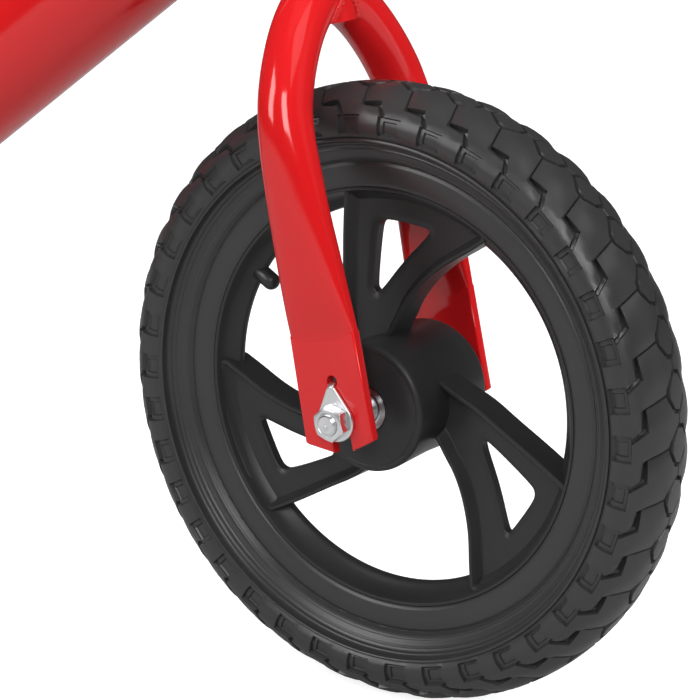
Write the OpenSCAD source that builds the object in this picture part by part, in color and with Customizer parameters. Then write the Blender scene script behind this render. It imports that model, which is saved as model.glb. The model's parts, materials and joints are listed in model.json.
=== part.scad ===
// Child's balance bike: two twelve-inch wheels, fat main tube, turning fork, no pedals.
// Millimetres. +X is forward, +Y is the rider's left, +Z is up, and the floor is z = 0.
// The origin is on the floor, midway between the two wheel centres.

/* [Wheels] */
// distance between the wheel centres
wheelbase = 550; // [480:5:640]
// tyre radius at the crown
tyre_radius = 150; // [120:1:180]
// half the tyre's width
tyre_half_width = 24; // [18:0.5:30]
// radius of the rim's tyre seat
seat_radius = 102.1; // [90:0.1:120]
// half the rim's width
rim_half_width = 11.2; // [8:0.1:18]
// hub barrel radius
hub_radius = 31; // [20:0.5:40]
// half the hub barrel's length
hub_half = 28.75; // [20:0.25:40]
// half the depth of the raised spoke edges
spoke_half_depth = 9; // [5:0.5:12]
// half the thickness of the spoke web
web_half = 2.5; // [1:0.5:5]
// shoulder tread blocks round each side
tread_blocks = 38; // [20:1:60]
// height of the tread blocks
tread_depth = 1.8; // [0:0.1:4]
// angle of the valve, from +X towards +Z
valve_angle = 149.5; // [0:0.5:360]

/* [Axles] */
// axle radius (M10)
axle_radius = 5; // [4:0.5:6]
// half the axle's length
axle_half = 61.5; // [50:0.5:80]
// radius of the plain ends of the axle
axle_end_radius = 4.65; // [3:0.05:5]
// outer faces of the dropout plates, from the mid-plane
dropout_face = 52; // [45:0.5:70]
// thickness of the dropout plates
dropout_thickness = 5.5; // [3:0.5:8]
// distance from the axle to the washer's hook hole
hook_distance = 18.4; // [14:0.2:25]
// how far the hook hole and the washer turn forward from the leg's line
washer_turn = 3; // [0:0.5:8]

/* [Fork and steering] */
// steering axis, from the floor
head_angle = 77; // [65:1:85]
// fork tube radius
fork_tube_radius = 12.7; // [10:0.1:16]
// wall of the frame tubes
wall = 1.6; // [1:0.1:3]
// radius of the handlebar and its post
bar_radius = 11.1; // [9:0.1:13]
// lower end of the head tube, along the steering axis from the front axle
head_low = 215; // [200:1:240]
// length of the head tube
head_length = 110; // [80:1:140]
// head tube radius
head_radius = 18; // [16:0.5:22]
// handlebar centre, along the steering axis from the front axle
bar_height = 425; // [390:5:470]
// half the handlebar's straight middle part
bar_straight = 55; // [40:1:90]
// how far each end of the handlebar bends back
bar_sweep = 22; // [0:1:35]
// length of each grip
grip_length = 98; // [80:1:120]

/* [Frame] */
// main tube radius
main_radius = 32; // [25:0.5:38]
// slope of the main tube's straight part
main_slope = 35.9; // [25:0.1:45]
// height of the main tube's level part
main_level = 222; // [200:1:260]
// radius of the main tube's bend, at its centre line
main_bend = 140; // [110:5:200]
// back end of the main tube
main_end = -112; // [-118:1:-105]
// lean of the seat tube from vertical
seat_lean = 18; // [5:1:25]
// length of the seat tube, from the main tube's centre
seat_tube_length = 125; // [110:1:150]
// slope of the rear stays
stay_slope = 23.5; // [15:0.5:35]

/* [Saddle] */
// saddle length
saddle_length = 236; // [200:1:260]
// saddle clamp centre, along the seat tube from the main tube's centre
saddle_clamp_at = 148; // [145:1:190]

/* [Hidden] */
$fn = 96;
eps = 0.02;
bearing_outer = 11;
bearing_inner = 5;
bearing_width = 6;
ball_pitch = 8.05;
ball_radius = 1.5875;
balls_per_bearing = 11;
head_top = head_low + head_length;
headset_ball = 2;
headset_pitch = 16.2;
headset_balls_per_ring = 20;
lower_ball_at = head_low - 6.8;
upper_ball_at = head_top + 6.8;
steerer_bottom = 178;
steerer_top = head_top + 36;
dropout_inner = dropout_face - dropout_thickness;
dropout_mid = dropout_face - dropout_thickness / 2;
// where the steering axis meets the main tube's centre line, along the axis
main_meets_axis = 274;
axis_x = wheelbase / 2 - main_meets_axis * cos(head_angle);
axis_z = tyre_radius + main_meets_axis * sin(head_angle);
main_corner_x = axis_x - (axis_z - main_level) / tan(main_slope);
main_tangent = main_bend * tan(main_slope / 2);
seat_foot_x = -82;
saddle_x = -138;
saddle_bottom = 377;

red = [0.80, 0.03, 0.03];
black_plastic = [0.05, 0.05, 0.055];
black_rubber = [0.09, 0.09, 0.09];
zinc = [0.78, 0.79, 0.80];
steel = [0.62, 0.63, 0.65];

// One spoke arm, seen from the bike's right, with the wheel centre at the origin.
arm_outline = [
    [22, 12], [26.6, 13.8], [36.6, 8.6], [49, 3.6], [60, -3.4], [76, -12.6], [88, -20], [97.5, -26.5],
    [88, -49], [70, -72], [45.6, -89],
    [45.1, -75.7], [44.6, -60.7], [43, -50.7], [40.4, -40.7], [36.2, -30.7], [30.5, -22.7], [25.6, -14.7],
    [22, -12]
];
// The small window in that arm.
small_window = [
    [46.4, -15.6], [48.6, -13.6], [52, -14.2], [75, -30.6], [77, -34], [76.2, -38.4], [64.4, -56.2],
    [62, -57.2], [60.2, -55.4], [54.6, -35.6]
];

// Tyre section from the crown to the bead: [radius, distance from the mid-plane].
tyre_outer = [
    [150, 0], [150, 1.5], [149.3, 7], [147, 13.5], [142.5, 19.5], [137.5, 22.8], [132, 24], [126.2, 22.2], [125.6, 20.3],
    [119, 15.9], [115.2, 13.6], [114.1, 12.6], [113, 12.9], [106, 12.2], [102.2, 11.2]
];
tyre_inner = [[102.2, 6.6], [107.5, 7.8], [114, 9.4], [125, 16.8], [132, 20.4], [140, 16.6], [145, 0]];
tube_outer = [[144.6, 0], [139.6, 16.2], [132, 20], [125.2, 16.3], [114, 9], [107.5, 7.3], [102, 5.2], [99.2, 4], [99.2, 0]];
tube_inner = [[143.4, 0], [138.6, 15], [131.8, 18.7], [125.8, 15.4], [114.6, 8], [108, 6.2], [103, 4.3], [100.4, 3.2], [100.4, 0]];
rim_seat = [[98.5, 0], [98.5, 3.9], [100.2, 5.6], [seat_radius, 6.4], [seat_radius, rim_half_width]];
rim_inside = [[100.4, rim_half_width], [99.4, 8.8], [97.4, 6], [94.6, 3.2], [93.4, 2.4], [92.4, 1.2], [92.4, 0]];

// Flattened fork leg: [along the axis, distance from mid-plane, half width, half thickness, squareness].
leg_path = [
    [-15, dropout_mid, 19.4, 2.75, 6], [38, dropout_mid, 18.4, 2.75, 6], [44, 49.5, 18.2, 3.6, 4],
    [56, 50, 17.8, 5.6, 3], [74, 50.4, 16.9, 7.9, 2.5], [96, 50.8, 15.6, 9.8, 2.2],
    [118, 50.3, 14.4, 11.2, 2.1], [134, 48.9, 13.3, 12.3, 2], [146, 46, 12.7, 12.7, 2],
    [157, 41, 12.7, 12.7, 2], [167, 34.8, 12.7, 12.7, 2], [175.5, 28.2, 12.7, 12.7, 2],
    [183, 20.6, 12.7, 12.7, 2], [189, 12, 12.7, 12.7, 2], [192, 4, 12.7, 12.7, 2]
];
// Rear stay, in the same form, measured along the stay from the rear axle.
stay_path = [
    [-15, dropout_mid, 17.4, 2.75, 6], [34, dropout_mid, 16.4, 2.75, 6], [40, 49.4, 16.2, 3.6, 4],
    [52, 49.8, 15.4, 5.6, 3], [68, 50, 14.2, 7.8, 2.5], [86, 50, 12.9, 9.4, 2.2],
    [104, 49, 11.8, 10.6, 2.1], [118, 47, 11.1, 11.1, 2], [131, 43.2, 11.1, 11.1, 2],
    [144, 37.4, 11.1, 11.1, 2], [157, 30.6, 11.1, 11.1, 2], [170, 24, 11.1, 11.1, 2], [186, 17, 11.1, 11.1, 2]
];
// Saddle: [along its length, half width, height of the top, squareness].
saddle_path = [
    [-0.5, 20, 16, 2.2], [-0.492, 36, 25, 2.3], [-0.47, 52, 33, 2.4], [-0.42, 65, 37.5, 2.5],
    [-0.35, 72, 38, 2.6], [-0.25, 73, 35, 2.6], [-0.12, 65, 31, 2.5], [0.03, 49, 29, 2.4],
    [0.18, 36, 29, 2.3], [0.33, 29, 31, 2.2], [0.42, 25.5, 32.5, 2.2], [0.47, 20, 31, 2.1],
    [0.492, 13, 26, 2], [0.5, 7, 18, 2]
];

// the piece to draw, or "all"

// ---------- places ----------

module at_front_hub() {
    translate([wheelbase / 2, 0, tyre_radius]) children();
}

module at_rear_hub() {
    translate([-wheelbase / 2, 0, tyre_radius]) children();
}

// local z runs up the steering axis from the front axle, local x points forward
module on_steering_axis(along = 0) {
    at_front_hub() rotate([0, head_angle - 90, 0]) translate([0, 0, along]) children();
}

// local z runs up the rear stay from the rear axle
module on_stay() {
    at_rear_hub() rotate([0, 90 - stay_slope, 0]) children();
}

// local z runs up the seat tube from the main tube's centre
module on_seat_tube(along = 0) {
    translate([seat_foot_x, 0, main_level]) rotate([0, -seat_lean, 0]) translate([0, 0, along]) children();
}

// turns local z to point to the bike's right
module crosswise() {
    rotate([90, 0, 0]) children();
}

module both_sides() {
    children();
    mirror([0, 1, 0]) children();
}

// ---------- shared shapes ----------

// half a section, mirrored in the wheel's mid-plane
function whole_section(half) = concat(
    half,
    [for (i = [len(half) - 1:-1:0]) if (half[i][1] > 0) [half[i][0], -half[i][1]]]
);

// a polygon's points moved inwards by t, for points listed clockwise
function inset(points, t) = let (n = len(points)) [
    for (i = [0:n - 1])
        let (
            before = points[i] - points[(i + n - 1) % n],
            after = points[(i + 1) % n] - points[i],
            a = [before[1], -before[0]] / norm(before),
            b = [after[1], -after[0]] / norm(after)
        ) points[i] + t * (a + b) / (1 + a * b)
];

module ring(outer, inner, height) {
    difference() {
        cylinder(r = outer, h = height);
        translate([0, 0, -1]) cylinder(r = inner, h = height + 2);
    }
}

module hexagon(across_flats, height) {
    cylinder(r = across_flats / sqrt(3), h = height, $fn = 6);
}

function rounded(angle, power) = sign(cos(angle)) * pow(abs(cos(angle)), 2 / power);

// one cross-section of a leg or stay, square to its centre line
function leg_section(path, i, sides, shrink) = let (
    p = path[i],
    last = len(path) - 1,
    along = path[min(i + 1, last)] - path[max(i - 1, 0)],
    tilt = atan2(along[1], along[0])
) [
    for (k = [0:sides - 1])
        let (
            angle = 360 * k / sides,
            u = (p[2] - shrink) * rounded(angle, p[4]),
            v = (p[3] - shrink) * rounded(angle - 90, p[4])
        ) [u, p[1] + v * cos(tilt), p[0] - v * sin(tilt)]
];

// skin over a list of sections that all have the same number of points
module skin(sections) {
    sides = len(sections[0]);
    last = len(sections) - 1;
    points = [for (section = sections) for (p = section) p];
    walls = [
        for (i = [0:last - 1]) for (k = [0:sides - 1])
            let (a = i * sides + k, b = i * sides + (k + 1) % sides)
                each [[a, a + sides, b], [b, a + sides, b + sides]]
    ];
    bottom = [for (k = [0:sides - 1]) k];
    top = [for (k = [sides - 1:-1:0]) last * sides + k];
    polyhedron(points = points, faces = concat(walls, [bottom], [top]));
}

module flattened_tube(path, sides = 24) {
    skin([for (i = [0:len(path) - 1]) leg_section(path, i, sides, 0)]);
}

module flattened_tube_core(path, first, sides = 16) {
    skin([for (i = [first:len(path) - 1]) leg_section(path, i, sides, wall)]);
}

// a path with both ends moved outwards, so that a core cut along it leaves the tube open
function lengthened(path) = let (
    last = len(path) - 1,
    first_step = [path[0][0] - path[1][0], path[0][1] - path[1][1]],
    last_step = [path[last][0] - path[last - 1][0], path[last][1] - path[last - 1][1]]
) [
    for (i = [0:last])
        let (
            move = i == 0 ? first_step / norm(first_step) : i == last ? last_step / norm(last_step) : [0, 0]
        ) [path[i][0] + move[0], path[i][1] + move[1], path[i][2], path[i][3], path[i][4]]
];

// open slot for the axle and the small hole for the washer's hook
module dropout_cuts() {
    translate([0, dropout_face + 3, 0]) crosswise() cylinder(r = axle_radius + 0.1, h = 12);
    translate([-axle_radius - 0.1, dropout_face - 9, -20]) cube([2 * axle_radius + 0.2, 12, 20]);
    rotate([0, washer_turn, 0]) translate([0, dropout_face + 3, hook_distance]) crosswise()
        cylinder(r = 2.75, h = 12);
    for (side = [-1, 1])
        translate([side * 20, dropout_face + 3, -15.5]) crosswise() rotate(45)
            translate([-4.5, -4.5, 0]) cube([9, 9, 12]);
}

// ---------- wheel pieces, wheel centre at the origin, axle along y ----------

module tyre() {
    crosswise() difference() {
        rotate_extrude() polygon(whole_section(tyre_outer));
        rotate_extrude() polygon(whole_section(tyre_inner));
        rotate_extrude() translate([tyre_radius - tread_depth, -1.1]) square([5, 2.2]);
        for (i = [0:tread_blocks - 1], side = [-1, 1])
            rotate(360 * (i + side / 4) / tread_blocks)
                translate([141, -1.6, side * 15.5 - 6.5]) cube([12, 3.2, 13]);
        translate([0, 0, -6.6]) cylinder(r = 102.3, h = 13.2);
    }
}

module inner_tube() {
    crosswise() difference() {
        rotate_extrude() polygon(whole_section(tube_outer));
        rotate_extrude() polygon(whole_section(tube_inner));
        rotate(valve_angle) translate([90, 0, 0]) rotate([0, 90, 0]) cylinder(r = 3.4, h = 15);
    }
}

module spoke_arm() {
    crosswise() {
        translate([0, 0, -web_half]) linear_extrude(2 * web_half) difference() {
            polygon(arm_outline);
            polygon(small_window);
        }
        translate([0, 0, -spoke_half_depth]) linear_extrude(2 * spoke_half_depth) difference() {
            polygon(arm_outline);
            polygon(inset(arm_outline, 2.8));
        }
        translate([0, 0, -web_half - 2]) linear_extrude(2 * web_half + 4) difference() {
            polygon(inset(small_window, -1.8));
            polygon(small_window);
        }
    }
}

module wheel_rim() {
    difference() {
        union() {
            crosswise() rotate_extrude() polygon(whole_section(concat(rim_seat, rim_inside)));
            intersection() {
                for (i = [0:2]) rotate([0, -120 * i, 0]) spoke_arm();
                crosswise() cylinder(r = 98.4, h = 40, center = true);
            }
            crosswise() rotate_extrude() polygon([
                [7, -hub_half], [hub_radius - 2.6, -hub_half], [hub_radius - 0.8, -hub_half + 0.8],
                [hub_radius, -hub_half + 2.6], [hub_radius - 1, 0], [hub_radius, hub_half - 2.6],
                [hub_radius - 0.8, hub_half - 0.8], [hub_radius - 2.6, hub_half], [7, hub_half]
            ]);
        }
        crosswise() cylinder(r = 9, h = 2 * hub_half + 2, center = true);
        for (side = [-1, 1])
            translate([0, side * (hub_half - bearing_width / 2 + 0.5), 0]) crosswise()
                cylinder(r = bearing_outer + eps, h = bearing_width + 1, center = true);
        rotate([0, -valve_angle, 0]) translate([88, 0, 0]) rotate([0, 90, 0]) cylinder(r = 4.1, h = 20);
    }
}

module valve_stem() {
    rotate([0, -valve_angle, 0]) rotate([0, 90, 0]) difference() {
        union() {
            translate([0, 0, 84]) cylinder(r = 2.4, h = 6);
            translate([0, 0, 90]) cylinder(r = 3.35, h = 11);
        }
        translate([0, 0, 83]) cylinder(r = 1, h = 19);
    }
}

module valve_cap() {
    rotate([0, -valve_angle, 0]) rotate([0, 90, 0]) difference() {
        union() {
            translate([0, 0, 81.9]) cylinder(r = 4.9, h = 10.1);
            translate([0, 0, 80.4]) cylinder(r1 = 3.6, r2 = 4.9, h = 1.5);
        }
        translate([0, 0, 83.9]) cylinder(r = 2.43, h = 6.1);
        translate([0, 0, 89.98]) cylinder(r = 3.37, h = 4);
    }
}

module at_bearings() {
    for (side = [-1, 1])
        translate([0, side * (hub_half - bearing_width / 2), 0]) crosswise() children();
}

module bearing_outer_rings() {
    at_bearings() difference() {
        translate([0, 0, -bearing_width / 2]) ring(bearing_outer, 9.3, bearing_width);
        rotate_extrude() translate([ball_pitch, 0]) circle(r = ball_radius + 0.04, $fn = 48);
    }
}

module bearing_inner_rings() {
    at_bearings() difference() {
        translate([0, 0, -bearing_width / 2]) ring(6.8, bearing_inner + eps, bearing_width);
        rotate_extrude() translate([ball_pitch, 0]) circle(r = ball_radius + 0.04, $fn = 48);
    }
}

module bearing_balls() {
    at_bearings() for (i = [0:balls_per_bearing - 1])
        rotate(360 * i / balls_per_bearing) translate([ball_pitch, 0, 0]) sphere(r = ball_radius, $fn = 32);
}

module bearing_shields() {
    for (side = [-1, 1])
        translate([0, side * (hub_half - 0.6), 0]) crosswise()
            translate([0, 0, -0.4]) ring(9.28, 7.15, 0.8);
}

// threaded up to the nuts' outer faces, with a plain end beyond each nut
module axle() {
    thread_half = dropout_face + 8 + 2 * eps;
    crosswise() {
        translate([0, 0, -thread_half]) cylinder(r = axle_radius, h = 2 * thread_half);
        translate([0, 0, -axle_half]) cylinder(r = axle_end_radius, h = 2 * axle_half);
    }
}

module axle_spacers() {
    crosswise() {
        for (side = [0, 1]) mirror([0, 0, side])
            translate([0, 0, hub_half + eps]) ring(7, axle_radius + eps, dropout_inner - hub_half - 2 * eps);
        inner_half = hub_half - bearing_width - eps;
        translate([0, 0, -inner_half]) ring(6.8, axle_radius + eps, 2 * inner_half);
    }
}

// teardrop plate with a hook that holds it to the dropout
module retention_washers() {
    both_sides() translate([0, dropout_face + 2 + eps, 0]) crosswise() {
        difference() {
            linear_extrude(2) {
                circle(r = 9.8);
                translate([0, hook_distance - 4.2]) circle(r = 2.7);
                polygon([[-9.6, 1.9], [-2.65, hook_distance - 3.7], [2.65, hook_distance - 3.7], [9.6, 1.9]]);
            }
            translate([0, 0, -1]) cylinder(r = axle_radius + 0.05, h = 4);
        }
        translate([-1.7, hook_distance - 2, 0]) cube([3.4, 1.7, 5.5]);
    }
}

module axle_nuts() {
    both_sides() translate([0, dropout_face + 8 + 2 * eps, 0]) crosswise() difference() {
        intersection() {
            hexagon(15, 6);
            union() {
                translate([0, 0, 1.2]) cylinder(r = 9, h = 5);
                cylinder(r1 = 7.2, r2 = 8.9, h = 1.2);
            }
        }
        translate([0, 0, -1]) cylinder(r = axle_radius + eps, h = 8);
    }
}

// ---------- front wheel ----------

module front_tyre() color(black_rubber) at_front_hub() tyre();
module front_inner_tube() color(black_rubber) at_front_hub() inner_tube();
module front_wheel_rim() color(black_plastic) at_front_hub() wheel_rim();
module front_valve_stem() color(steel) at_front_hub() valve_stem();
module front_valve_cap() color(black_plastic) at_front_hub() valve_cap();
module front_bearing_outer_rings() color(steel) at_front_hub() bearing_outer_rings();
module front_bearing_balls() color(steel) at_front_hub() bearing_balls();
module front_bearing_shields() color(steel) at_front_hub() bearing_shields();
module front_bearing_inner_rings() color(steel) at_front_hub() bearing_inner_rings();
module front_axle() color(zinc) at_front_hub() axle();
module front_axle_spacers() color(zinc) at_front_hub() axle_spacers();
module front_retention_washers() color(zinc) on_steering_axis() rotate([0, washer_turn, 0]) retention_washers();
module front_axle_nuts() color(zinc) on_steering_axis() axle_nuts();

// ---------- fork ----------

module fork_leg() {
    difference() {
        flattened_tube(leg_path);
        flattened_tube_core(leg_path, 4);
        dropout_cuts();
        translate([0, 0, 150]) cylinder(r = fork_tube_radius + eps, h = 60);
    }
}

module fork_leg_left() color(red) on_steering_axis() fork_leg();
module fork_leg_right() color(red) on_steering_axis() mirror([0, 1, 0]) fork_leg();

module steerer_tube() {
    color(red) on_steering_axis(steerer_bottom) difference() {
        cylinder(r = fork_tube_radius, h = steerer_top - steerer_bottom);
        translate([0, 0, -1]) cylinder(r = bar_radius + 0.05, h = steerer_top - steerer_bottom + 2);
        translate([-20, -1, steerer_top - steerer_bottom - 20]) cube([20, 2, 21]);
    }
}

module headset_groove(at) {
    translate([0, 0, at]) rotate_extrude() translate([headset_pitch, 0]) circle(r = headset_ball + 0.05, $fn = 48);
}

module headset_crown_race() {
    color(steel) on_steering_axis() difference() {
        translate([0, 0, lower_ball_at - 6]) ring(18.4, fork_tube_radius + eps, 5.7);
        headset_groove(lower_ball_at);
    }
}

module headset_balls() {
    color(steel) on_steering_axis() for (at = [lower_ball_at, upper_ball_at], i = [0:headset_balls_per_ring - 1])
        translate([0, 0, at]) rotate(360 * i / headset_balls_per_ring)
            translate([headset_pitch, 0, 0]) sphere(r = headset_ball, $fn = 32);
}

module headset_upper_cone() {
    color(steel) on_steering_axis() difference() {
        translate([0, 0, upper_ball_at + 0.3]) ring(18.4, fork_tube_radius + eps, 6);
        headset_groove(upper_ball_at);
    }
}

module headset_lock_washer() {
    color(steel) on_steering_axis(upper_ball_at + 6.3 + eps) ring(16.5, fork_tube_radius + eps, 1.4);
}

module headset_locknut() {
    color(steel) on_steering_axis(upper_ball_at + 7.7 + 2 * eps) difference() {
        intersection() {
            hexagon(32, 6);
            cylinder(r = 17.8, h = 6);
        }
        translate([0, 0, -1]) cylinder(r = fork_tube_radius + eps, h = 8);
    }
}

// split ring with two ears behind it; the bolt passes through the ears
module split_collar(inner, outer, height, ear_reach, ear_half) {
    difference() {
        union() {
            cylinder(r = outer, h = height);
            translate([-ear_reach, -ear_half, 0]) cube([ear_reach, 2 * ear_half, height]);
        }
        translate([0, 0, -1]) cylinder(r = inner, h = height + 2);
        translate([-ear_reach - 1, -1.2, -1]) cube([ear_reach + 1, 2.4, height + 2]);
        translate([-ear_reach + 5.5, 20, height / 2]) crosswise() cylinder(r = 2.6, h = 40);
    }
}

bar_collar_at = upper_ball_at + 13.7 + 3 * eps;
bar_collar_height = 14;

module bar_clamp_collar() {
    color(black_plastic) on_steering_axis(bar_collar_at)
        split_collar(fork_tube_radius + eps, 16.6, bar_collar_height, 26, 7.5);
}

module bar_clamp_bolt() {
    color(zinc) on_steering_axis(bar_collar_at + bar_collar_height / 2) translate([-20.5, 0, 0]) crosswise() {
        difference() {
            translate([0, 0, 7.5 + eps]) cylinder(r = 4.25, h = 5);
            translate([0, 0, 10]) hexagon(4, 4);
        }
        translate([0, 0, -13]) cylinder(r = 2.5, h = 20.5 + eps);
    }
}

module bar_clamp_nut() {
    color(zinc) on_steering_axis(bar_collar_at + bar_collar_height / 2) translate([-20.5, 7.5 + eps, 0])
        rotate([-90, 0, 0]) difference() {
            hexagon(8, 4);
            translate([0, 0, -1]) cylinder(r = 2.5 + eps, h = 6);
        }
}

// ---------- handlebar ----------

post_bottom = 252;
bend_radius = 70;

module handlebar_post() {
    color(red) on_steering_axis() difference() {
        translate([0, 0, post_bottom]) cylinder(r = bar_radius, h = bar_height - post_bottom);
        translate([0, 0, post_bottom - 1]) cylinder(r = bar_radius - wall, h = bar_height - post_bottom - 10);
        translate([0, 50, bar_height]) crosswise() cylinder(r = bar_radius + eps, h = 100);
    }
}

bar_length_end = 122;

// children() sit at the start of the swept-back end, local z pointing outwards
module on_bar_end(along = 0) {
    translate([-bend_radius * (1 - cos(bar_sweep)), bar_straight + bend_radius * sin(bar_sweep), 0])
        rotate([-90, 0, bar_sweep]) translate([0, 0, along]) children();
}

// the handlebar's left half as [outwards, forwards], ending at the grip's tip
function bar_centre_line() = concat(
    [for (i = [0:6])
        let (turn = bar_sweep * i / 6)
            [bar_straight + bend_radius * sin(turn), -bend_radius * (1 - cos(turn))]],
    [[
        bar_straight + bend_radius * sin(bar_sweep) + bar_length_end * cos(bar_sweep),
        -bend_radius * (1 - cos(bar_sweep)) - bar_length_end * sin(bar_sweep)
    ]]
);

function round_path(points, radius) = [for (p = points) [p[0], p[1], radius, radius, 2]];

module handlebar() {
    half = bar_centre_line();
    other = [for (i = [len(half) - 1:-1:0]) [-half[i][0], half[i][1]]];
    path = round_path(concat(other, half), bar_radius);
    color(red) on_steering_axis(bar_height) rotate([0, -90, -90]) difference() {
        flattened_tube(path, 32);
        flattened_tube_core(lengthened(path), 0, 20);
    }
}

module grip() {
    on_bar_end(bar_length_end - grip_length + 4) difference() {
        union() {
            cylinder(r = 14.6, h = grip_length);
            cylinder(r = 20, h = 3.5);
            for (i = [0:8]) translate([0, 0, 12 + 9 * i]) cylinder(r = 15.4, h = 4.5);
            translate([0, 0, grip_length - 9]) cylinder(r = 18.5, h = 9);
        }
        translate([0, 0, -1]) cylinder(r = bar_radius + eps, h = grip_length - 3 + eps);
    }
}

module grip_left() color(black_rubber) on_steering_axis(bar_height) grip();
module grip_right() color(black_rubber) on_steering_axis(bar_height) mirror([0, 1, 0]) grip();

// ---------- frame ----------

// the main tube's centre line: [backwards, up, half width, half height, squareness]
main_straight = norm([axis_x - main_corner_x, axis_z - main_level]) - main_tangent;
main_taper = [[0, 16.5, 34], [22, 19.5, 34], [45, 25, 33.5], [68, 29.8, 32.6], [92, main_radius, main_radius]];
main_path = concat(
    [for (t = main_taper)
        [-axis_x + t[0] * cos(main_slope), axis_z - t[0] * sin(main_slope), t[1], t[2], 2]],
    [for (i = [0:8])
        let (turn = main_slope * (1 - i / 8))
            [
                -main_corner_x + main_tangent - main_bend * sin(turn),
                main_level + main_bend * (1 - cos(turn)),
                main_radius, main_radius, 2
            ]],
    [[-main_end, main_level, main_radius, main_radius, 2]]
);

// turns a path's local frame so that it runs backwards and up
module lying_back() {
    rotate([90, 0, -90]) children();
}

module main_tube() {
    color(red) difference() {
        lying_back() flattened_tube(main_path, 40);
        lying_back() flattened_tube_core(lengthened(main_path), 0, 32);
        on_steering_axis(head_low - 20) cylinder(r = head_radius + eps, h = head_length + 40);
    }
}

module main_tube_end_plate() {
    color(red) translate([main_end - eps, 0, main_level]) rotate([0, -90, 0]) cylinder(r = main_radius, h = 2);
}

module head_tube() {
    color(red) on_steering_axis(head_low) ring(head_radius, 15.2, head_length);
}

// pressed into the head tube: flange outside, sleeve inside
module headset_cup() {
    difference() {
        union() {
            translate([0, 0, -6.5]) cylinder(r = 19.5, h = 6.5 - eps);
            cylinder(r = 15.2 - eps, h = 9);
        }
        translate([0, 0, -7]) cylinder(r = 13.4, h = 20);
        headset_groove(-6.8);
    }
}

module headset_lower_cup() color(steel) on_steering_axis(head_low) headset_cup();
module headset_upper_cup() color(steel) on_steering_axis(head_top) mirror([0, 0, 1]) headset_cup();

module seat_tube() {
    color(red) difference() {
        on_seat_tube() difference() {
            cylinder(r = 14.3, h = seat_tube_length);
            translate([0, 0, -1]) cylinder(r = 12.75, h = seat_tube_length + 2);
            translate([-20, -1.2, seat_tube_length - 26]) cube([20, 2.4, 27]);
        }
        lying_back() flattened_tube(main_path, 40);
    }
}

module rear_stay() {
    difference() {
        on_stay() difference() {
            flattened_tube(stay_path);
            flattened_tube_core(stay_path, 4);
            dropout_cuts();
        }
        translate([main_end - 2 - 2 * eps, -60, 150]) cube([120, 120, 150]);
    }
}

module rear_stay_left() color(red) rear_stay();
module rear_stay_right() color(red) mirror([0, 1, 0]) rear_stay();

// ---------- seat clamp ----------

seat_collar_height = 15;
seat_collar_at = seat_tube_length - seat_collar_height + 0.5;
rod_back = -22.5;
cam_y = 16.2;

module on_clamp_rod() {
    on_seat_tube(seat_collar_at + seat_collar_height / 2) translate([rod_back, 0, 0]) children();
}

module seat_clamp_collar() {
    color(black_plastic) on_seat_tube(seat_collar_at)
        split_collar(14.3 + eps, 18, seat_collar_height, 28, 8);
}

module seat_clamp_rod() {
    color(zinc) on_clamp_rod() difference() {
        union() {
            translate([0, -15, 0]) rotate([-90, 0, 0]) cylinder(r = 2.5, h = 15 + cam_y);
            translate([0, cam_y, -2]) cylinder(r = 3.4, h = 4);
        }
        translate([0, cam_y, -3]) cylinder(r = 2 + eps, h = 6);
    }
}

module seat_clamp_nut() {
    color(zinc) on_clamp_rod() translate([0, -8 - eps, 0]) crosswise() difference() {
        cylinder(r = 6, h = 7.5);
        translate([0, 0, -1]) cylinder(r = 2.5 + eps, h = 10);
    }
}

module seat_clamp_pin() {
    color(zinc) on_clamp_rod() translate([0, cam_y, -6]) cylinder(r = 2, h = 12);
}

module seat_clamp_lever() {
    color(black_plastic) on_clamp_rod() translate([0, cam_y, 0]) difference() {
        union() {
            translate([0, 0, -5.5]) cylinder(r = 6.2, h = 11);
            translate([0, 2.7, -5.5]) cube([16, 3.5, 11]);
            translate([15.5, 2.7, -5.5]) rotate(9) cube([36, 3.5, 11]);
        }
        translate([0, 0, -8]) cylinder(r = 2.05, h = 16);
        translate([-8, -8, -3.1]) cube([11.8, 16, 6.2]);
    }
}

// ---------- saddle ----------

// lower end of the seat post, along the seat tube
post_foot = 46;

module seat_post() {
    color(steel) on_seat_tube() difference() {
        translate([0, 0, post_foot]) cylinder(r = 12.7, h = saddle_clamp_at + 8 - post_foot);
        translate([0, 0, post_foot - 1]) cylinder(r = 11.1, h = saddle_clamp_at + 2 - post_foot);
        translate([0, 0, saddle_clamp_at + 8]) rotate([0, seat_lean, 0])
            translate([-25, -25, -1.5]) cube([50, 50, 20]);
    }
}

rail_spread = 20;
rail_z = main_level + saddle_clamp_at * cos(seat_lean) + 9.5;
clamp_x = seat_foot_x - saddle_clamp_at * sin(seat_lean);

saddle_bolt_x = clamp_x + 16.5;
saddle_bolt_z = rail_z - 7.5;

// ring on the post and a level block across it that holds the two rails
module saddle_clamp() {
    color(zinc) difference() {
        union() {
            on_seat_tube(saddle_clamp_at - 12) cylinder(r = 16.4, h = 18);
            translate([clamp_x - 17, -rail_spread - 7, rail_z - 12]) cube([39, 2 * rail_spread + 14, 18]);
        }
        on_seat_tube(20) cylinder(r = 12.7 + eps, h = saddle_clamp_at + 40);
        for (side = [-1, 1]) translate([clamp_x - 20, side * rail_spread, rail_z]) rotate([0, 90, 0])
            cylinder(r = 3.52, h = 50);
        translate([saddle_bolt_x, 60, saddle_bolt_z]) crosswise() cylinder(r = 3 + eps, h = 120);
    }
}

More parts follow.
